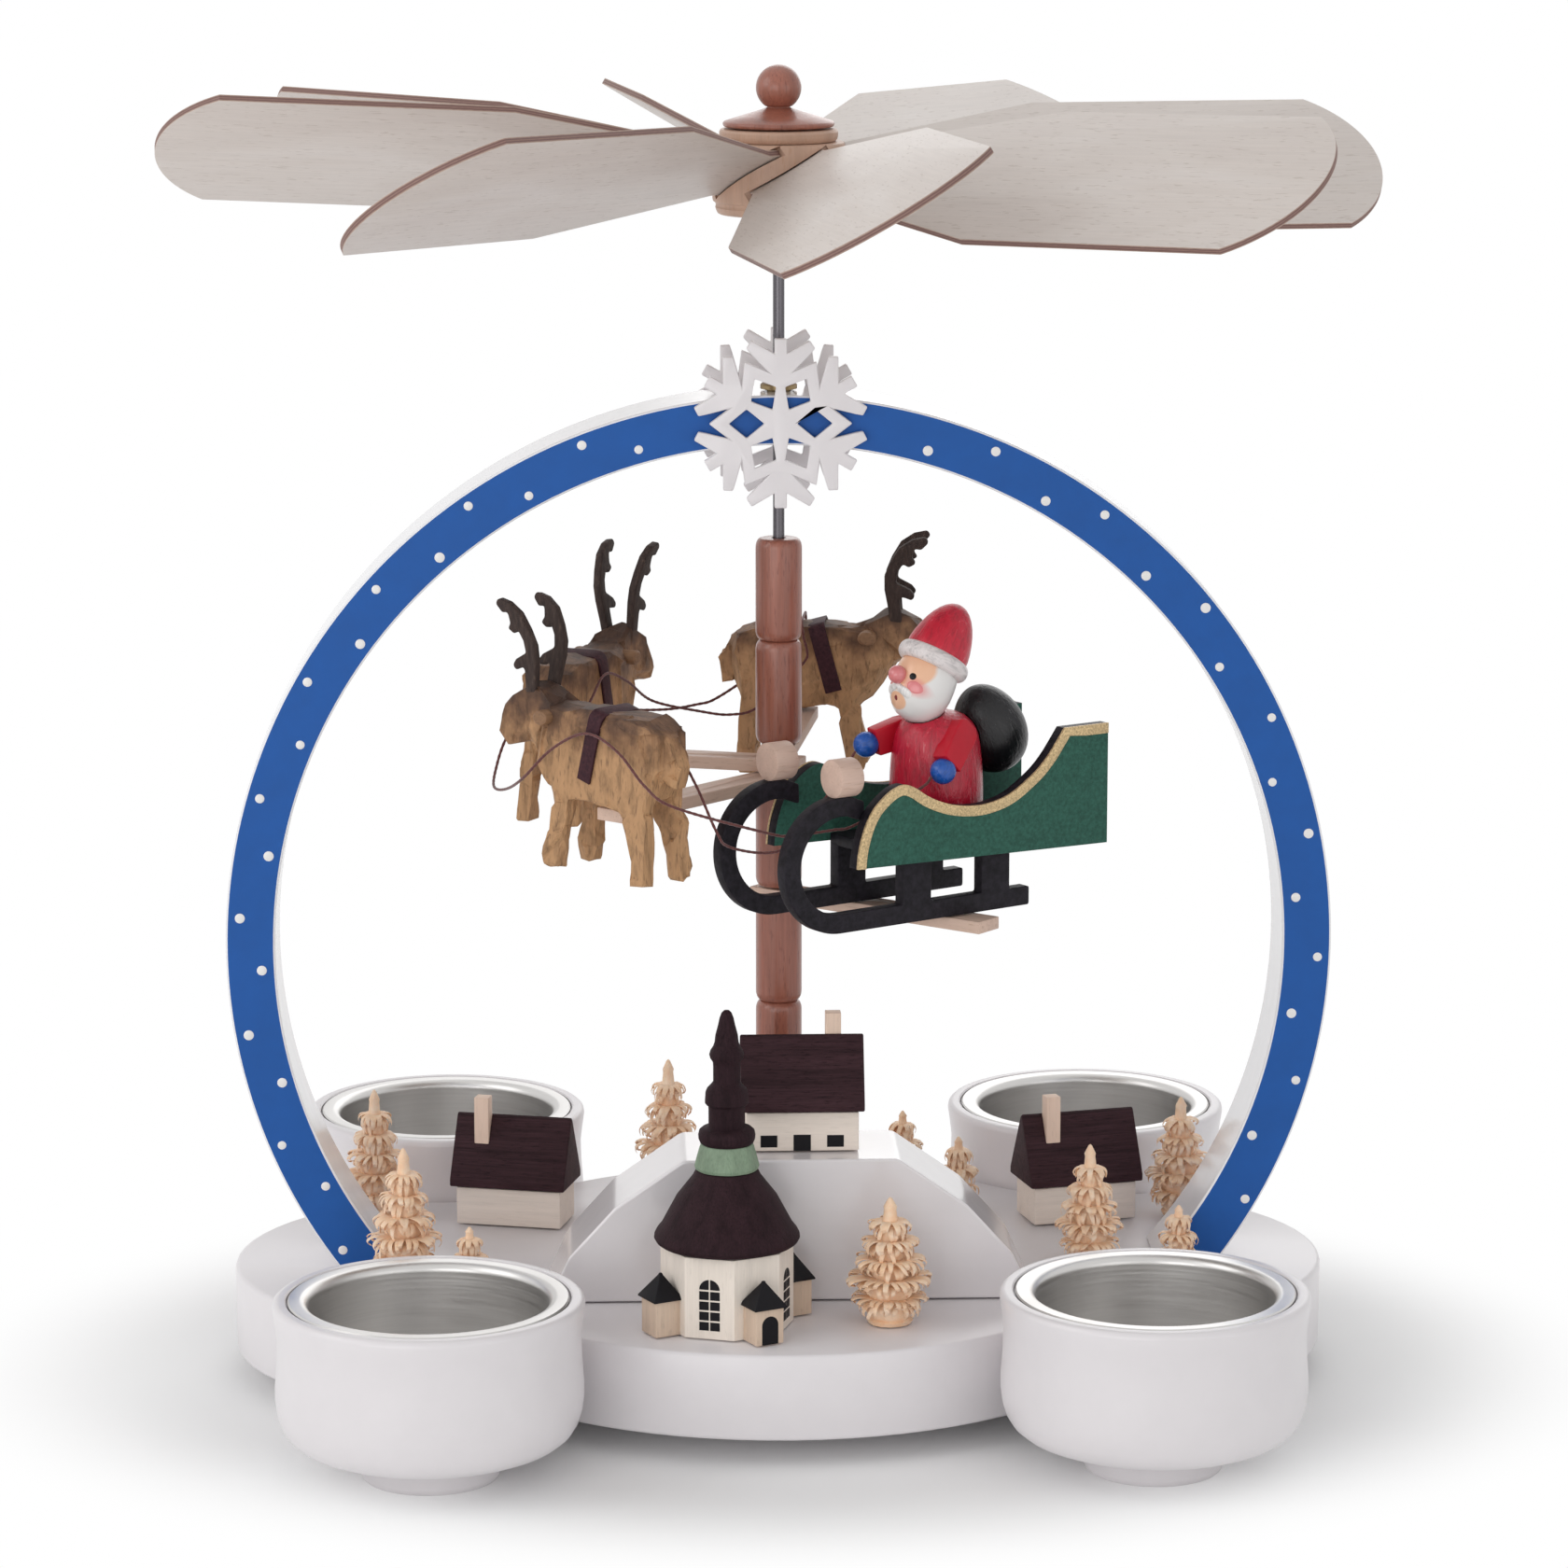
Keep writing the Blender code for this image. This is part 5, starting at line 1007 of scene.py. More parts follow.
def make_tree(index, x, y, height, radius):
    """A shaved stick: a pointed stem with tiers of curls, the widest low down."""
    chance = Random(40 + index)
    tiers = max(3, round(height * 0.72 / 3.4))
    low = 0.04 * height
    crown = 0.80 * height
    step = (crown - low) / tiers
    stem_r = 0.14 * radius + 0.35
    shape = bmesh.new()
    rings = []
    for r, z in stem_profile(height, radius, crown, low, step, tiers, stem_r):
        sides = STEM_SIDES if r > 1e-6 else 1
        wobble = [1.0 + chance.uniform(-0.05, 0.05) for _ in range(sides)] if sides > 1 else [1.0]
        rings.append([shape.verts.new((r * wobble[k] * cos(2.0 * pi * k / STEM_SIDES) * MM,
                                       r * wobble[k] * sin(2.0 * pi * k / STEM_SIDES) * MM, z * MM))
                      for k in range(sides)])
    skin(shape, rings, caps=False)
    for k in range(tiers):
        share = (k + 1) / tiers
        reach = radius * (0.34 + 0.66 * min(1.0, share * 1.25)) * (0.88 if k == tiers - 1 else 1.0)
        top = crown - k * step + 0.15
        start_r = min(stem_r * (1.0 + 0.36 * k), radius * 0.42) * 0.7
        for layer, spread in ((0, 1.0), (1, 0.80)):
            count = max(10, round(reach * 3.9 * spread))
            level = top - layer * step * 0.22
            for n in range(count):
                azimuth = 2.0 * pi * (n + 0.5 * layer + 0.37 * k) / count + chance.uniform(-0.07, 0.07)
                out = (reach * spread - start_r) * chance.uniform(0.86, 0.99)
                drop = min(step * chance.uniform(0.55, 0.95) * (1.15 if layer else 1.0), level - 0.35)
                width = min(2.0 * pi * reach / count * chance.uniform(0.55, 0.9), 1.15)
                curl(shape, (start_r, level), out, drop, width, chance.uniform(0.2, 1.0),
                     chance.uniform(-0.5, 0.5), azimuth, chance)
    tree = to_object("tree_%02d_curled" % index, shape, SHAVING, smooth=50.0)
    add(tree, "base", "wood_shaving", "tree_%02d" % index, matrix=spot(x, y, GROUND, 37.0 * index))


for index, tree_spec in enumerate(TREES, 1):
    make_tree(index, *tree_spec)


# Rotor: pole, arms, hub and blades

BEAD_R = 4.05
BEAD_NECK = 3.1
BEAD_ROUND = 1.7
BEAD_PITCH = 18.2
BORE_R = 1.3
ARM_HALF = 3.0
ARM_THICK = 2.15


def bead_profile(top, bottom, count):
    points = []
    for k in range(count):
        high = top if k == 0 else top + GAP - k * BEAD_PITCH
        low = bottom if k == count - 1 else top + GAP - (k + 1) * BEAD_PITCH
        curve = [(BEAD_NECK + (BEAD_R - BEAD_NECK) * sin(radians(a)), BEAD_ROUND * (1.0 - cos(radians(a))))
                 for a in range(0, 91, 15)]
        points += [(r, high - z) for r, z in curve]
        points += [(r, low + z) for r, z in reversed(curve)][:-1]
    return points + [(BEAD_NECK, bottom), (BORE_R, bottom), (BORE_R, top)]


for node, top, bottom, count in (("pole_upper", 148.4, 112.3, 2), ("pole_middle", 104.65, 86.75, 1),
                                 ("pole_lower", 84.0, 29.7, 3)):
    pole = lathe(node + "_finish", bead_profile(top, bottom, count), 64, BEAD, closed=True, smooth=48.0)
    add(pole, "rotor", "red_brown_wood", node)


def make_arm(name, azimuth, reach, top, *replaced):
    arm = block(name, (-4.2, -ARM_HALF, top - ARM_THICK), (reach, ARM_HALF, top), BEECH_LONG, edge=0.18)
    bore = lathe("bore", [(0.0, top + 2.0), (BORE_R, top + 2.0), (BORE_R, top - 5.0), (0.0, top - 5.0)], 32,
                 BEECH_LONG)
    joined(arm, bore, operation="DIFFERENCE")
    add(arm, "rotor", "pale_beech", *replaced, matrix=turned(azimuth, "Z"))


make_arm("reindeer_arm_front", 81.5, 37.7, 112.0, "reindeer_arms")
make_arm("reindeer_arm_middle", 163.0, 39.4, 109.55)
make_arm("reindeer_arm_rear", -131.8, 44.6, 107.1)
make_arm("sleigh_arm_finish", -39.0, 45.0, 86.45, "sleigh_arm")
spacer = lathe("arm_spacer", [(BORE_R, 112.0), (3.0, 112.0), (3.0, 104.95), (BORE_R, 104.95)], 48, BEECH,
               closed=True)
add(spacer, "rotor", "pale_beech")

BLADE_Z = 212.0
BLADE_PITCH = 30.0
BLADE_FIRST = 7.8
BLADE_LIFTS = (0.0, 0.0, 0.0, 1.0, 3.0, 1.2, 0.6, 1.2)


def blade_place(k):
    return (spot(0.0, 0.0, BLADE_Z, BLADE_FIRST + 45.0 * k) @ turned(-BLADE_LIFTS[k], "Y")
            @ turned(BLADE_PITCH, "X"))


def make_hub():
    side = [(10.9, 217.0), (11.25, 216.85), (11.4, 216.5), (11.4, 207.4), (11.3, 206.9), (10.9, 206.6),
            (10.8, 206.2), (10.9, 205.8), (10.75, 205.3), (10.5, 204.8), (10.1, 204.6)]
    hub = lathe("hub_finish", [(0.0, 217.05), *side, (BORE_R, 204.6), (BORE_R, 216.3), (0.0, 216.3)], 96,
                HUB_WOOD, smooth=30.0)
    for k in range(8):
        slot = block("slot", (8.5, -8.1, -0.9), (12.4, 8.1, 0.9), HUB_WOOD, edge=0.0)
        joined(hub, moved(slot, blade_place(k)), operation="DIFFERENCE")
    soften(hub.data, 30.0)
    add(hub, "rotor", "pale_beech", "hub")
    disc = lathe("cap_disc", [(0.0, 219.2), (9.6, 219.2), (9.95, 219.1), (10.2, 218.7), (10.2, 218.1),
                              (10.05, 217.4), (9.8, 217.1), (0.0, 217.1)], 96, HUB_WOOD, smooth=30.0)
    add(disc, "rotor", "pale_beech")


def make_finial():
    cone = [(2.0, 222.8), (3.2, 222.35), (6.4, 221.35), (9.3, 220.45), (9.55, 220.25), (9.6, 219.95),
            (9.45, 219.6), (9.2, 219.5), (0.0, 219.5)]
    ball_r = 3.9
    centre = 222.8 + sqrt(ball_r ** 2 - 2.0 ** 2)
    ball = [(ball_r * cos(radians(a)), centre + ball_r * sin(radians(a))) for a in range(84, -58, -6)]
    neck = [(2.05, 222.98), (2.0, 222.88)]
    finial = lathe("finial_finish", [(0.0, centre + ball_r), *ball, *neck, *cone], 72, BEAD, smooth=45.0)
    add(finial, "rotor", "red_brown_wood", "finial")


def make_blades():
    tip_r = 24.0
    half_width = 19.0
    sweep = atan2(half_width, sqrt(tip_r ** 2 - half_width ** 2))
    outline = [(8.8, -7.2), (11.7, -7.2), (48.0, -half_width), *arc((82.5, 0.0), tip_r, -sweep, sweep, 40),
               (48.0, half_width), (11.7, 7.2), (8.8, 7.2)]
    for k in range(8):
        blade = plate("blade_finish_%d" % (k + 1), outline, 1.2, BLADE, PLY_EDGE, edge=0.09, resolution=1,
                      smooth=25.0, rim=1)
        add(blade, "rotor", "birch_plywood", "blade_%d" % (k + 1), matrix=blade_place(k))


make_hub()
make_finial()
make_blades()


# Reindeer

TORSO = ((-11.2, 14.4), (-11.5, 8.2), (-10.4, 3.4), (-5.0, 0.2), (0.5, 0.0), (5.3, 0.9), (12.0, 1.3),
         (14.8, 2.8), (16.6, 5.6), (16.2, 11.0), (14.2, 15.6), (11.0, 15.8), (6.5, 16.4), (1.5, 16.4),
         (-7.6, 16.0))
HEAD = ((9.6, 9.0), (12.6, 2.6), (15.4, 3.6), (18.2, 7.2), (19.8, 9.6), (21.8, 8.5), (25.4, 7.6), (27.3, 9.6),
        (27.0, 13.4), (22.8, 17.6), (19.6, 19.2), (17.0, 18.6), (13.8, 16.6), (10.4, 15.4))
FORE_LEG = ((7.9, 2.4), (9.6, -5.6), (10.4, -11.6), (14.1, -11.6), (14.4, -8.4), (12.8, -4.8), (12.6, 3.4),
            (8.2, 5.2))
HIND_LEG = ((-10.6, 5.4), (-9.8, 0.4), (-11.0, -2.2), (-10.2, -4.8), (-10.9, -12.0), (-7.0, -12.0),
            (-7.2, -7.6), (-5.8, -3.6), (-3.4, 1.6), (-4.6, 8.6))
TAIL = ((-10.6, 13.6), (-12.4, 13.4), (-14.7, 10.0), (-14.3, 4.9), (-11.8, 5.2), (-11.6, 8.2), (-10.6, 9.0))
ANTLER_EDGE = ((18.2, 16.4), (17.9, 19.6), (17.2, 23.4), (17.2, 26.1), (18.3, 28.8), (20.0, 31.6), (22.5, 33.2),
               (25.0, 33.7), (25.6, 32.7), (24.2, 31.3), (22.8, 31.5), (22.5, 29.6), (23.2, 28.6), (21.8, 27.8),
               (20.7, 28.5), (19.7, 26.8), (19.4, 24.7), (22.1, 23.3), (23.0, 22.2), (22.4, 21.3), (20.1, 22.2),
               (20.3, 19.6), (20.6, 16.4))
EAR = ((0.0, 6.2), (1.1, 6.15), (1.4, 5.95), (1.5, 5.6), (1.5, 3.2), (1.3, 1.5), (0.0, 1.5))
BACK_HEIGHT = 16.4
SIDES = ((-1.0, "right"), (1.0, "left"))
REINDEER = (("front", 4.253, 35.215, 112.3, -6.0, 0.95, 4.1),
            ("middle", -36.013, 9.977, 109.85, 64.0, 1.0, 1.8),
            ("rear", -27.566, -32.328, 107.4, 134.0, 1.0, 1.2))
CUTS = 130


def upright_plate(name, outline, thickness, y, look, size, lean=0.0, round_by=0.0, **more):
    """A plate in the figure's XZ plane with its middle at y, leaning out by a few degrees."""
    hinge = Vector((0.0, y, outline[0][1] * size)) * MM
    turn = Matrix.Translation(hinge) @ turned(lean, "X") @ Matrix.Translation(-hinge)
    made = plate(name, fillet([(x * size, z * size, round_by) for x, z in outline]), thickness, look, **more)
    return moved(made, turn @ spot(0.0, y, 0.0) @ UPRIGHT)


def carve(obj, seed):
    """Turns a joined blank into one carved block: soft joints, then many flat knife cuts."""
    applied(obj, "REMESH", mode="VOXEL", voxel_size=0.42 * MM)
    applied(obj, "SMOOTH", factor=0.5, iterations=3)
    vertices = obj.data.vertices
    count = len(vertices)
    places = np.empty(count * 3)
    normals = np.empty(count * 3)
    vertices.foreach_get("co", places)
    vertices.foreach_get("normal", normals)
    places = places.reshape(-1, 3) / MM
    normals = normals.reshape(-1, 3)
    picks = Random(seed).sample(range(count), CUTS)
    apart = ((places[:, None, :] - places[picks][None, :, :]) ** 2).sum(axis=2)
    cut = (apart + 30.0 * (1.0 - normals @ normals[picks].T)).argmin(axis=1)
    for k in range(CUTS):
        mine = cut == k
        if mine.sum() < 4:
            continue
        facing = normals[mine].mean(axis=0)
        facing /= np.linalg.norm(facing)
        off = (places[mine] - places[mine].mean(axis=0)) @ facing
        places[mine] -= np.clip(0.9 * off, -0.4, 0.5)[:, None] * facing
    vertices.foreach_set("co", (places * MM).ravel())
    obj.data.update()
    applied(obj, "DECIMATE", ratio=0.07)
    soften(obj.data, 6.0)
    return obj


def reindeer_blank(size):
    """Torso, head, legs and tail sawn from boards and joined: thickness, middle, lean and edge of each."""
    boards = [("blank", TORSO, 9.4, 0.0, 0.0, 1.1, 1), ("blank_head", HEAD, 6.4, 0.0, 0.0, 0.9, 1)]
    boards += [("blank_leg", leg, 2.8, side * 3.2, side * 5.0, 0.35, 2) for side, _ in SIDES
               for leg in (FORE_LEG, HIND_LEG)]
    boards.append(("blank_tail", TAIL, 3.2, 0.0, 0.0, 0.4, 2))
    return joined(*[upright_plate(name, outline, thickness, y, CARVED, size, lean=lean, edge=edge,
                                  resolution=resolution)
                    for name, outline, thickness, y, lean, edge, resolution in boards])


def make_reindeer(tag, x, y, z, heading, size, strap_at):
    place = spot(x, y, z, heading)
    node = "reindeer_" + tag
    body = carve(reindeer_blank(size), 70 + len(tag))
    body.name = node + "_carving"
    add(body, "rotor", "carved_wood", node, matrix=place)
    for side, name in SIDES:
        ear = lathe(node + "_ear_" + name, EAR, 20, PALE_CARVED, smooth=24.0)
        tilt = turned(-side * 90.0, "X") @ Matrix.Diagonal((1.15, 0.85, 1.0, 1.0))
        add(ear, "rotor", "carved_wood", matrix=place @ spot(14.0 * size, 0.0, 14.2 * size) @ tilt)
    for side, name in SIDES:
        antler = upright_plate(node + "_antler_" + name, ANTLER_EDGE, 1.4, side * 2.2, ANTLER, size,
                               lean=-side * 8.0, edge=0.28, round_by=0.7)
        add(antler, "rotor", "carved_wood", matrix=place)
    outer = 5.2
    inner = 4.72
    hang = -12.4
    band = [(-outer, hang, 0.2), (-outer, 0.32, 2.1), (outer, 0.32, 2.1), (outer, hang, 0.2),
            (inner, hang, 0.1), (inner, -0.15, 1.7), (-inner, -0.15, 1.7), (-inner, hang, 0.1)]
    strap = plate(node + "_strap", fillet(band), 3.0, LEATHER, edge=0.12, smooth=40.0)
    add(moved(strap, turned(90.0, "Z") @ UPRIGHT), "rotor", "carved_wood",
        matrix=place @ spot(strap_at, 0.0, BACK_HEIGHT * size) @ turned(-15.0, "Y"))


for deer in REINDEER:
    make_reindeer(*deer)


# Sleigh

SLEIGH_HEADING = -146.6
SLEIGH = spot(15.303, -23.209, 86.75, SLEIGH_HEADING)
RAIL = ((-31.2, 30.8), (-29.5, 28.6), (-27.7, 26.4), (-25.5, 24.3), (-22.9, 22.5), (-20.3, 21.0), (-17.6, 20.0),
        (-14.0, 19.4), (-10.5, 19.5), (-7.0, 20.1), (-4.0, 21.1), (-1.5, 22.3), (1.0, 23.9), (3.2, 24.7),
        (5.3, 24.3), (7.4, 23.1), (9.6, 21.2), (11.2, 18.7), (12.3, 15.7), (12.8, 13.4), (13.0, 11.3))
REAR_X = -40.8
REAR_TOP = 30.7
TRIM_WIDTH = 1.75
TRIM_THICK = 0.5
TRIM_PROUD = 0.13
SIDE_INNER = 10.9
SIDE_OUTER = 13.3
CURL_X = 14.4
CURL_R = 11.7
RUNNER_BAR = 3.3
RUNNER_REAR = -25.8
RUNNER_Y = 9.4


def inset_line(points, reach):
    """The same line moved sideways, to the right of its direction."""
    made = []
    for i, here in enumerate(points):
        before = Vector(points[max(i - 1, 0)])
        after = Vector(points[min(i + 1, len(points) - 1)])
        ahead = (after - before).normalized()
        made.append((here[0] + ahead.y * reach, here[1] - ahead.x * reach))
    return made


def tidy_line(line, path, least):
    """Leaves out the points of an offset line that come too near the line it was moved from."""
    return [point for point in line if min((Vector(point) - Vector(other)).length for other in path) > least]


def make_sleigh_sides():
    rail = [Vector(p) for p in RAIL]
    top_edge = [tuple(p) for p in smooth_points([rail[0], *rail, rail[-1]], 4)]
    for tag, side in (("left", 1.0), ("right", -1.0)):
        board = plate("sleigh_side_%s_finish" % tag, [(REAR_X, 9.6), (REAR_X, REAR_TOP), *top_edge],
                      SIDE_OUTER - SIDE_INNER, GREEN, SLEIGH_BLACK, edge=0.12, resolution=1, smooth=32.0, rim=1)
        middle = side * (SIDE_INNER + SIDE_OUTER) / 2.0
        add(moved(board, spot(0.0, middle, 0.0) @ UPRIGHT), "rotor", "green_paint", "sleigh_side_" + tag,
            matrix=SLEIGH)
        path = [(REAR_X, REAR_TOP), (-36.0, REAR_TOP + 0.05), *top_edge]
        proud = inset_line(path, -0.07)
        inner = inset_line(path, TRIM_WIDTH)
        proud[0] = (REAR_X + 0.02, proud[0][1])
        inner[0] = (REAR_X + 0.02, inner[0][1])
        inner = tidy_line(inner, path, TRIM_WIDTH * 0.93)
        trim = plate("sleigh_trim_" + tag, proud + list(reversed(inner)), TRIM_THICK, GOLD, edge=0.08,
                     resolution=1, smooth=40.0)
        out = side * (SIDE_OUTER + TRIM_PROUD - TRIM_THICK / 2.0)
        add(moved(trim, spot(0.0, out, 0.0) @ UPRIGHT), "rotor", "pale_beech", matrix=SLEIGH)


def make_runners():
    top_turn = radians(102.0)
    outer = arc((CURL_X, CURL_R), CURL_R, -pi / 2.0, top_turn, 44)
    inner = arc((CURL_X, CURL_R), CURL_R - RUNNER_BAR, top_turn, -pi / 2.0, 40)
    edge = [(RUNNER_REAR, 0.0, 0.4), *outer, (9.7, 22.2, 0.4), (9.6, 18.7, 0.4), *inner]
    for middle in (-1.6, -18.5):
        edge += [(middle + 3.0, RUNNER_BAR, 0.35), (middle + 3.0, 10.7), (middle - 3.0, 10.7),
                 (middle - 3.0, RUNNER_BAR, 0.35)]
    edge.append((RUNNER_REAR, RUNNER_BAR, 0.4))
    knob_profile = [(0.0, 2.3), (3.0, 2.3), (3.2, 2.22), (3.3, 2.02), (3.3, -2.02), (3.2, -2.22), (3.0, -2.3),
                    (0.0, -2.3)]
    replaced = ("sleigh_frame",)
    for tag, side in (("left", RUNNER_Y), ("right", -RUNNER_Y)):
        runner = plate("sleigh_runner_" + tag, fillet(edge, steps=2), 2.4, SLEIGH_BLACK, edge=0.2, smooth=40.0)
        add(moved(runner, spot(0.0, side, 0.0) @ UPRIGHT), "rotor", "black_paint", *replaced, matrix=SLEIGH)
        replaced = ()
        knob = lathe("sleigh_knob_" + tag, knob_profile, 64, BEECH, smooth=30.0)
        add(knob, "rotor", "pale_beech", matrix=SLEIGH @ spot(13.4, side, 26.5) @ turned(90.0, "Y"))
    floor = block("sleigh_floor", (-39.8, -10.6, 10.4), (1.4, 10.6, 12.4), SLEIGH_BLACK, edge=0.2)
    add(floor, "rotor", "black_paint", matrix=SLEIGH)


make_sleigh_sides()
make_runners()


# Santa

SANTA = spot(26.574, -15.777, 99.45, SLEIGH_HEADING)
HEAD_PLACE = Matrix(((-0.743682, 0.550481, 0.379353, 0.025518), (-0.490368, -0.834848, 0.250137, -0.016474),
                     (0.454397, 0.0, 0.890799, 0.128436), (0.0, 0.0, 0.0, 1.0)))
SANTA_HEIGHT = 21.3
HEAD_R = 5.4
BEARD = 10.2
HEAD_SHAPE = ((0.0, 0.0), (0.55, 0.0), (0.9, 0.0), (0.965, -0.08), (0.99, -0.18), (1.0, -0.28), (1.0, -0.38),
              (0.99, -0.47), (0.96, -0.56), (0.91, -0.65), (0.84, -0.74), (0.74, -0.82), (0.62, -0.89),
              (0.49, -0.94), (0.34, -0.97), (0.17, -0.993), (0.0, -1.0))
SANTA_BODY = ((0.0, 1.0), (1.4, 0.998), (2.6, 0.99), (3.8, 0.975), (4.8, 0.955), (5.6, 0.925), (6.3, 0.89),
              (6.8, 0.85), (7.2, 0.80), (7.55, 0.72), (7.8, 0.62), (8.0, 0.5), (8.1, 0.38), (8.13, 0.28),
              (8.1, 0.18), (8.0, 0.08), (7.85, 0.015), (7.6, 0.0), (0.0, 0.0))


def head_surface(y, z, out):
    """The point on the head's front at a given side and height, in mm."""
    share = min(max(-z / BEARD, 0.0), 1.0)
    radius = 0.0
    for (r0, z0), (r1, z1) in zip(HEAD_SHAPE[2:], HEAD_SHAPE[3:]):
        if -z0 <= share <= -z1:
            t = (share + z0) / max(z0 - z1, 1e-6)
            radius = (r0 + (r1 - r0) * t) * HEAD_R
    return Vector((sqrt(max(radius ** 2 - y ** 2, 0.01)) + out, y, z))


def dab(shape, y, z, reach_y, reach_z, height, turn=0.0, ridge=0.0):
    """A raised dab of paint that lies on the head's surface."""
    rings = []
    sides = 20
    for share, lift in ((1.0, -0.15), (0.96, 0.35), (0.75, 0.8), (0.4, 1.0)):
        ring = []
        for k in range(sides):
            a = 2.0 * pi * k / sides
            u = share * reach_y * cos(a) * (1.0 + ridge * cos(a))
            v = share * reach_z * sin(a) * (1.0 - 0.6 * ridge * cos(a))
            dy = u * cos(turn) - v * sin(turn)
            dz = u * sin(turn) + v * cos(turn)
            ring.append(shape.verts.new(head_surface(y + dy, z + dz, lift * height) * MM))
        rings.append(ring)
    skin(shape, rings)


def make_santa_head():
    head = lathe("santa_head_finish", [(r * HEAD_R, z * BEARD) for r, z in HEAD_SHAPE], 72, FACE, smooth=60.0)
    add(head, "rotor", "painted_face", "santa_head", matrix=HEAD_PLACE)
    both = (-1.0, 1.0)
    dabs = (("santa_moustache", BEARD_WHITE, [((side * 1.7, -6.2, 2.1, 0.75, 0.42), -side * 0.34, -side * 0.35)
                                              for side in both]),
            ("santa_eyes", EYE, [((side * 2.55, -3.4, 0.56, 0.6, 0.16), 0.0, 0.0) for side in both]),
            ("santa_cheeks", PINK, [((side * 3.25, -5.05, 1.15, 1.0, 0.1), 0.0, 0.0) for side in both]),
            ("santa_mouth", MOUTH, [((0.0, -7.6, 0.42, 0.42, 0.08), 0.0, 0.0)]))
    for name, look, places in dabs:
        shape = bmesh.new()
        for place, turn, ridge in places:
            dab(shape, *place, turn=turn, ridge=ridge)
        add(to_object(name, shape, look, smooth=60.0), "rotor", "painted_face", matrix=HEAD_PLACE)
    nose_r = 1.6
    bow = [(nose_r * sin(radians(a)), nose_r * cos(radians(a))) for a in range(12, 180, 12)]
    nose = [(0.0, nose_r), *bow, (0.0, -nose_r)]
    add(lathe("santa_nose", nose, 40, PINK, smooth=60.0), "rotor", "painted_face",
        matrix=HEAD_PLACE @ spot(6.04, 0.0, -3.9))


def make_santa_hat():
    height = 11.74
    top = [(0.0, height), (0.7, height - 0.09), (1.5, height - 0.4), (2.3, height - 1.0), (3.05, height - 1.85),
           (3.75, height - 2.95), (4.35, height - 4.2), (4.85, height - 5.6), (5.25, height - 7.1), (5.5, 3.2),
           (5.5, 2.2), (5.2, 1.0), (0.0, 1.0)]
    hat_place = HEAD_PLACE @ turned(-5.0, "Y")
    add(lathe("santa_hat_finish", top, 72, HAT_RED, smooth=60.0), "rotor", "red_lacquer", "santa_hat",
        matrix=hat_place)
    turns = [2.0 * pi * k / 28 for k in range(27, -1, -1)]
    roll = [(5.2 + 1.2 * cos(a), 0.95 + 1.5 * sin(a)) for a in turns]
    add(lathe("santa_brim", roll, 72, FUR, closed=True, smooth=60.0), "rotor", "painted_face", matrix=hat_place)


def aimed(start_at, end_at):
    """A matrix at the first point whose +X points to the second."""
    ahead = (end_at - start_at).normalized()
    up = ahead.cross(Vector((0.0, 1.0, 0.0))).normalized()
    side = up.cross(ahead).normalized()
    return Matrix.Translation(start_at) @ Matrix((ahead, side, up)).transposed().to_4x4()


def make_santa_body():
    body = lathe("santa_body_finish", [(r, z * SANTA_HEIGHT) for r, z in SANTA_BODY], 80, RED, smooth=60.0)
    chin = lathe("chin", [(r * (HEAD_R + GAP), z * (BEARD + GAP)) for r, z in HEAD_SHAPE], 64, RED)
    chin.matrix_world = SANTA.inverted() @ HEAD_PLACE
    joined(body, chin, operation="DIFFERENCE")
    soften(body.data, 50.0)
    add(body, "rotor", "red_lacquer", "santa_body", matrix=SANTA)
    for tag, shoulder, hand in (("left", (-1.1, 6.0, 18.5), (4.9, 8.4, 12.3)),
                                ("right", (2.1, -5.4, 17.3), (10.3, -6.4, 15.3))):
        shoulder = Vector(shoulder) * MM
        hand = Vector(hand) * MM
        arm = aimed(shoulder, hand)
        end = (hand - shoulder).length / MM - 1.5
        outline = fillet([(-1.2, -1.3, 0.5), (-0.2, -2.45, 0.7), (2.2, -2.6, 1.5), (end, -2.35, 0.3),
                          (end, 2.3, 0.3), (1.6, 2.6, 1.5), (-0.6, 2.3, 0.7), (-1.2, 1.3, 0.5)])
        sleeve = plate("santa_sleeve_" + tag, outline, 3.2, SLEEVE_RED, edge=0.3, smooth=45.0)
        add(moved(sleeve, UPRIGHT), "rotor", "red_lacquer", matrix=SANTA @ arm)
        ball = [(0.0, 2.25), (0.7, 2.15), (1.3, 1.85), (1.8, 1.35), (2.12, 0.72), (2.25, 0.0), (2.16, -0.62),
                (1.92, -1.16), (1.6, -1.55), (1.45, -1.72), (0.0, -1.72)]
        mitten = lathe("santa_mitten_" + tag, ball, 48, MITTEN, smooth=50.0)
        add(mitten, "rotor", "blue_lacquer",
            matrix=SANTA @ Matrix.Translation(hand) @ arm.to_3x3().to_4x4() @ turned(90.0, "Y"))


def make_sack():
    """A sack that is wider below, with a hollow where it lies against the back."""
    profile = [(max(0.0, x) * 6.3 * (1.0 - 0.10 * z), z * 8.2)
               for x, z in arc((0.0, 0.0), 1.0, pi / 2.0, -pi / 2.0, 28)]
    profile[0] = (0.0, profile[0][1])
    profile[-1] = (0.0, profile[-1][1])
    sack = lathe("santa_sack_finish", profile, 72, SACK, smooth=60.0)
    lean = spot(-11.5, 0.0, 16.9) @ turned(26.0, "Y")
    back = lathe("back", [(r + GAP if r else 0.0, z * SANTA_HEIGHT) for r, z in SANTA_BODY], 64, SACK)
    back.matrix_world = lean.inverted()
    joined(sack, back, operation="DIFFERENCE")
    soften(sack.data, 50.0)
    add(sack, "rotor", "black_lacquer", "santa_sack", matrix=SANTA @ lean)


make_santa_body()
make_santa_head()
make_santa_hat()
make_sack()


# Floor, background and lamps

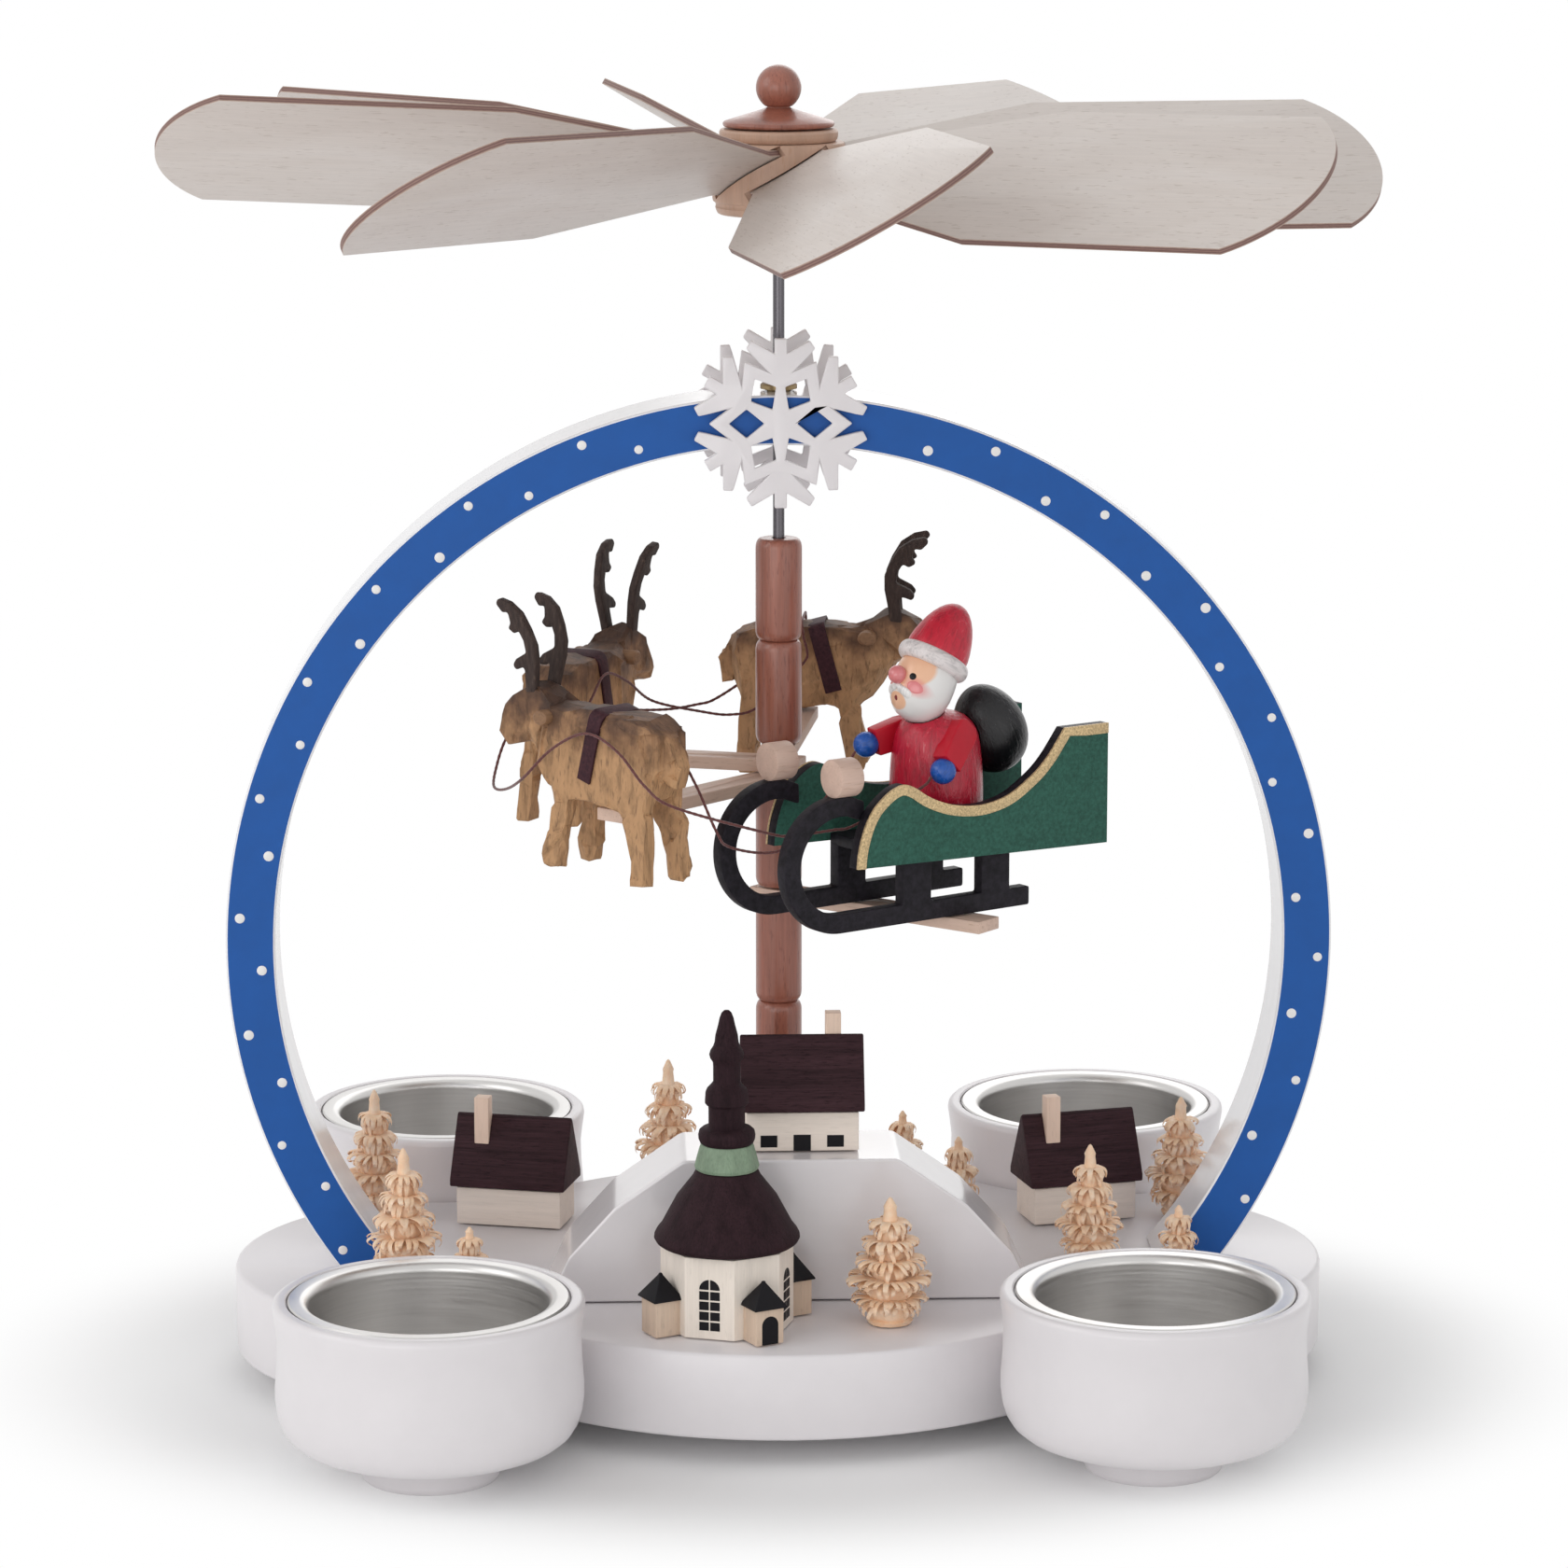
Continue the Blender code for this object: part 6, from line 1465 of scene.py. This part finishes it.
def plain_background(tree):
    """1 for rays that see the background directly, in a mirror or through glass."""
    path = put(tree, "LightPath")
    seen = sums(tree, "MAXIMUM", path.outputs["Is Camera Ray"], path.outputs["Is Glossy Ray"])
    return sums(tree, "MAXIMUM", seen, path.outputs["Is Transmission Ray"])


def make_floor():
    """A wide floor that keeps the object's shadow and is plain white farther out."""
    reach = 6.0
    shadow_width = 0.150
    shadow_depth = 0.115
    mesh = bpy.data.meshes.new("floor")
    corners = [(-reach, -reach, 0.0), (reach, -reach, 0.0), (reach, reach, 0.0), (-reach, reach, 0.0)]
    mesh.from_pydata(corners, [], [(0, 1, 2, 3)])
    look = bpy.data.materials.new("studio_floor")
    look.use_nodes = True
    tree = look.node_tree
    tree.nodes.clear()
    diffuse = put(tree, "BsdfDiffuse", {"Color": (0.97, 0.97, 0.97, 1.0)})
    glow = put(tree, "Emission", {"Color": (1.0, 1.0, 1.0, 1.0), "Strength": 1.0})
    parts = own_parts(tree)
    across = sums(tree, "DIVIDE", parts.outputs["X"], shadow_width)
    deep = sums(tree, "DIVIDE", parts.outputs["Y"], shadow_depth)
    away = put(tree, "MapRange", {"Value": length_of(tree, across, deep), "From Min": 0.62, "From Max": 1.05},
               interpolation_type="SMOOTHERSTEP").outputs["Result"]
    fac = sums(tree, "MULTIPLY", away, plain_background(tree))
    mixed = put(tree, "MixShader", {0: fac, 1: diffuse.outputs[0], 2: glow.outputs[0]})
    put(tree, "OutputMaterial", {"Surface": mixed.outputs[0]})
    mesh.materials.append(look)
    floor = bpy.data.objects.new("floor", mesh)
    SCENE.collection.objects.link(floor)


def make_world():
    world = bpy.data.worlds.new("studio")
    world.use_nodes = True
    SCENE.world = world
    tree = world.node_tree
    tree.nodes.clear()
    light, white = (put(tree, "Background", {"Color": (1.0, 1.0, 1.0, 1.0), "Strength": strength}).outputs[0]
                    for strength in (0.59, 1.0))
    mixed = put(tree, "MixShader", {0: plain_background(tree), 1: light, 2: white})
    put(tree, "OutputWorld", {"Surface": mixed.outputs[0]})


def lamp(name, at, aim_height, size, power):
    """A round lamp that is aimed at the object's axis."""
    data = bpy.data.lights.new(name, "AREA")
    data.shape = "DISK"
    data.size = size
    data.energy = power
    made = bpy.data.objects.new(name, data)
    made.location = at
    made.rotation_euler = (Vector((0.0, 0.0, aim_height)) - Vector(at)).to_track_quat("-Z", "Y").to_euler()
    SCENE.collection.objects.link(made)


make_floor()
make_world()
lamp("front_lamp", (-0.45, -0.95, 0.13), 0.13, 0.8, 2.6)
lamp("fill_lamp", (0.60, -0.85, 0.10), 0.13, 0.8, 1.25)
lamp("left_lamp", (-0.85, -0.25, 0.60), 0.10, 0.7, 1.9)
lamp("top_lamp", (0.0, 0.15, 1.15), 0.10, 0.9, 0.3)
lamp("back_lamp", (0.25, 0.95, 0.55), 0.12, 0.8, 1.6)

SCENE.view_settings.view_transform = "Standard"
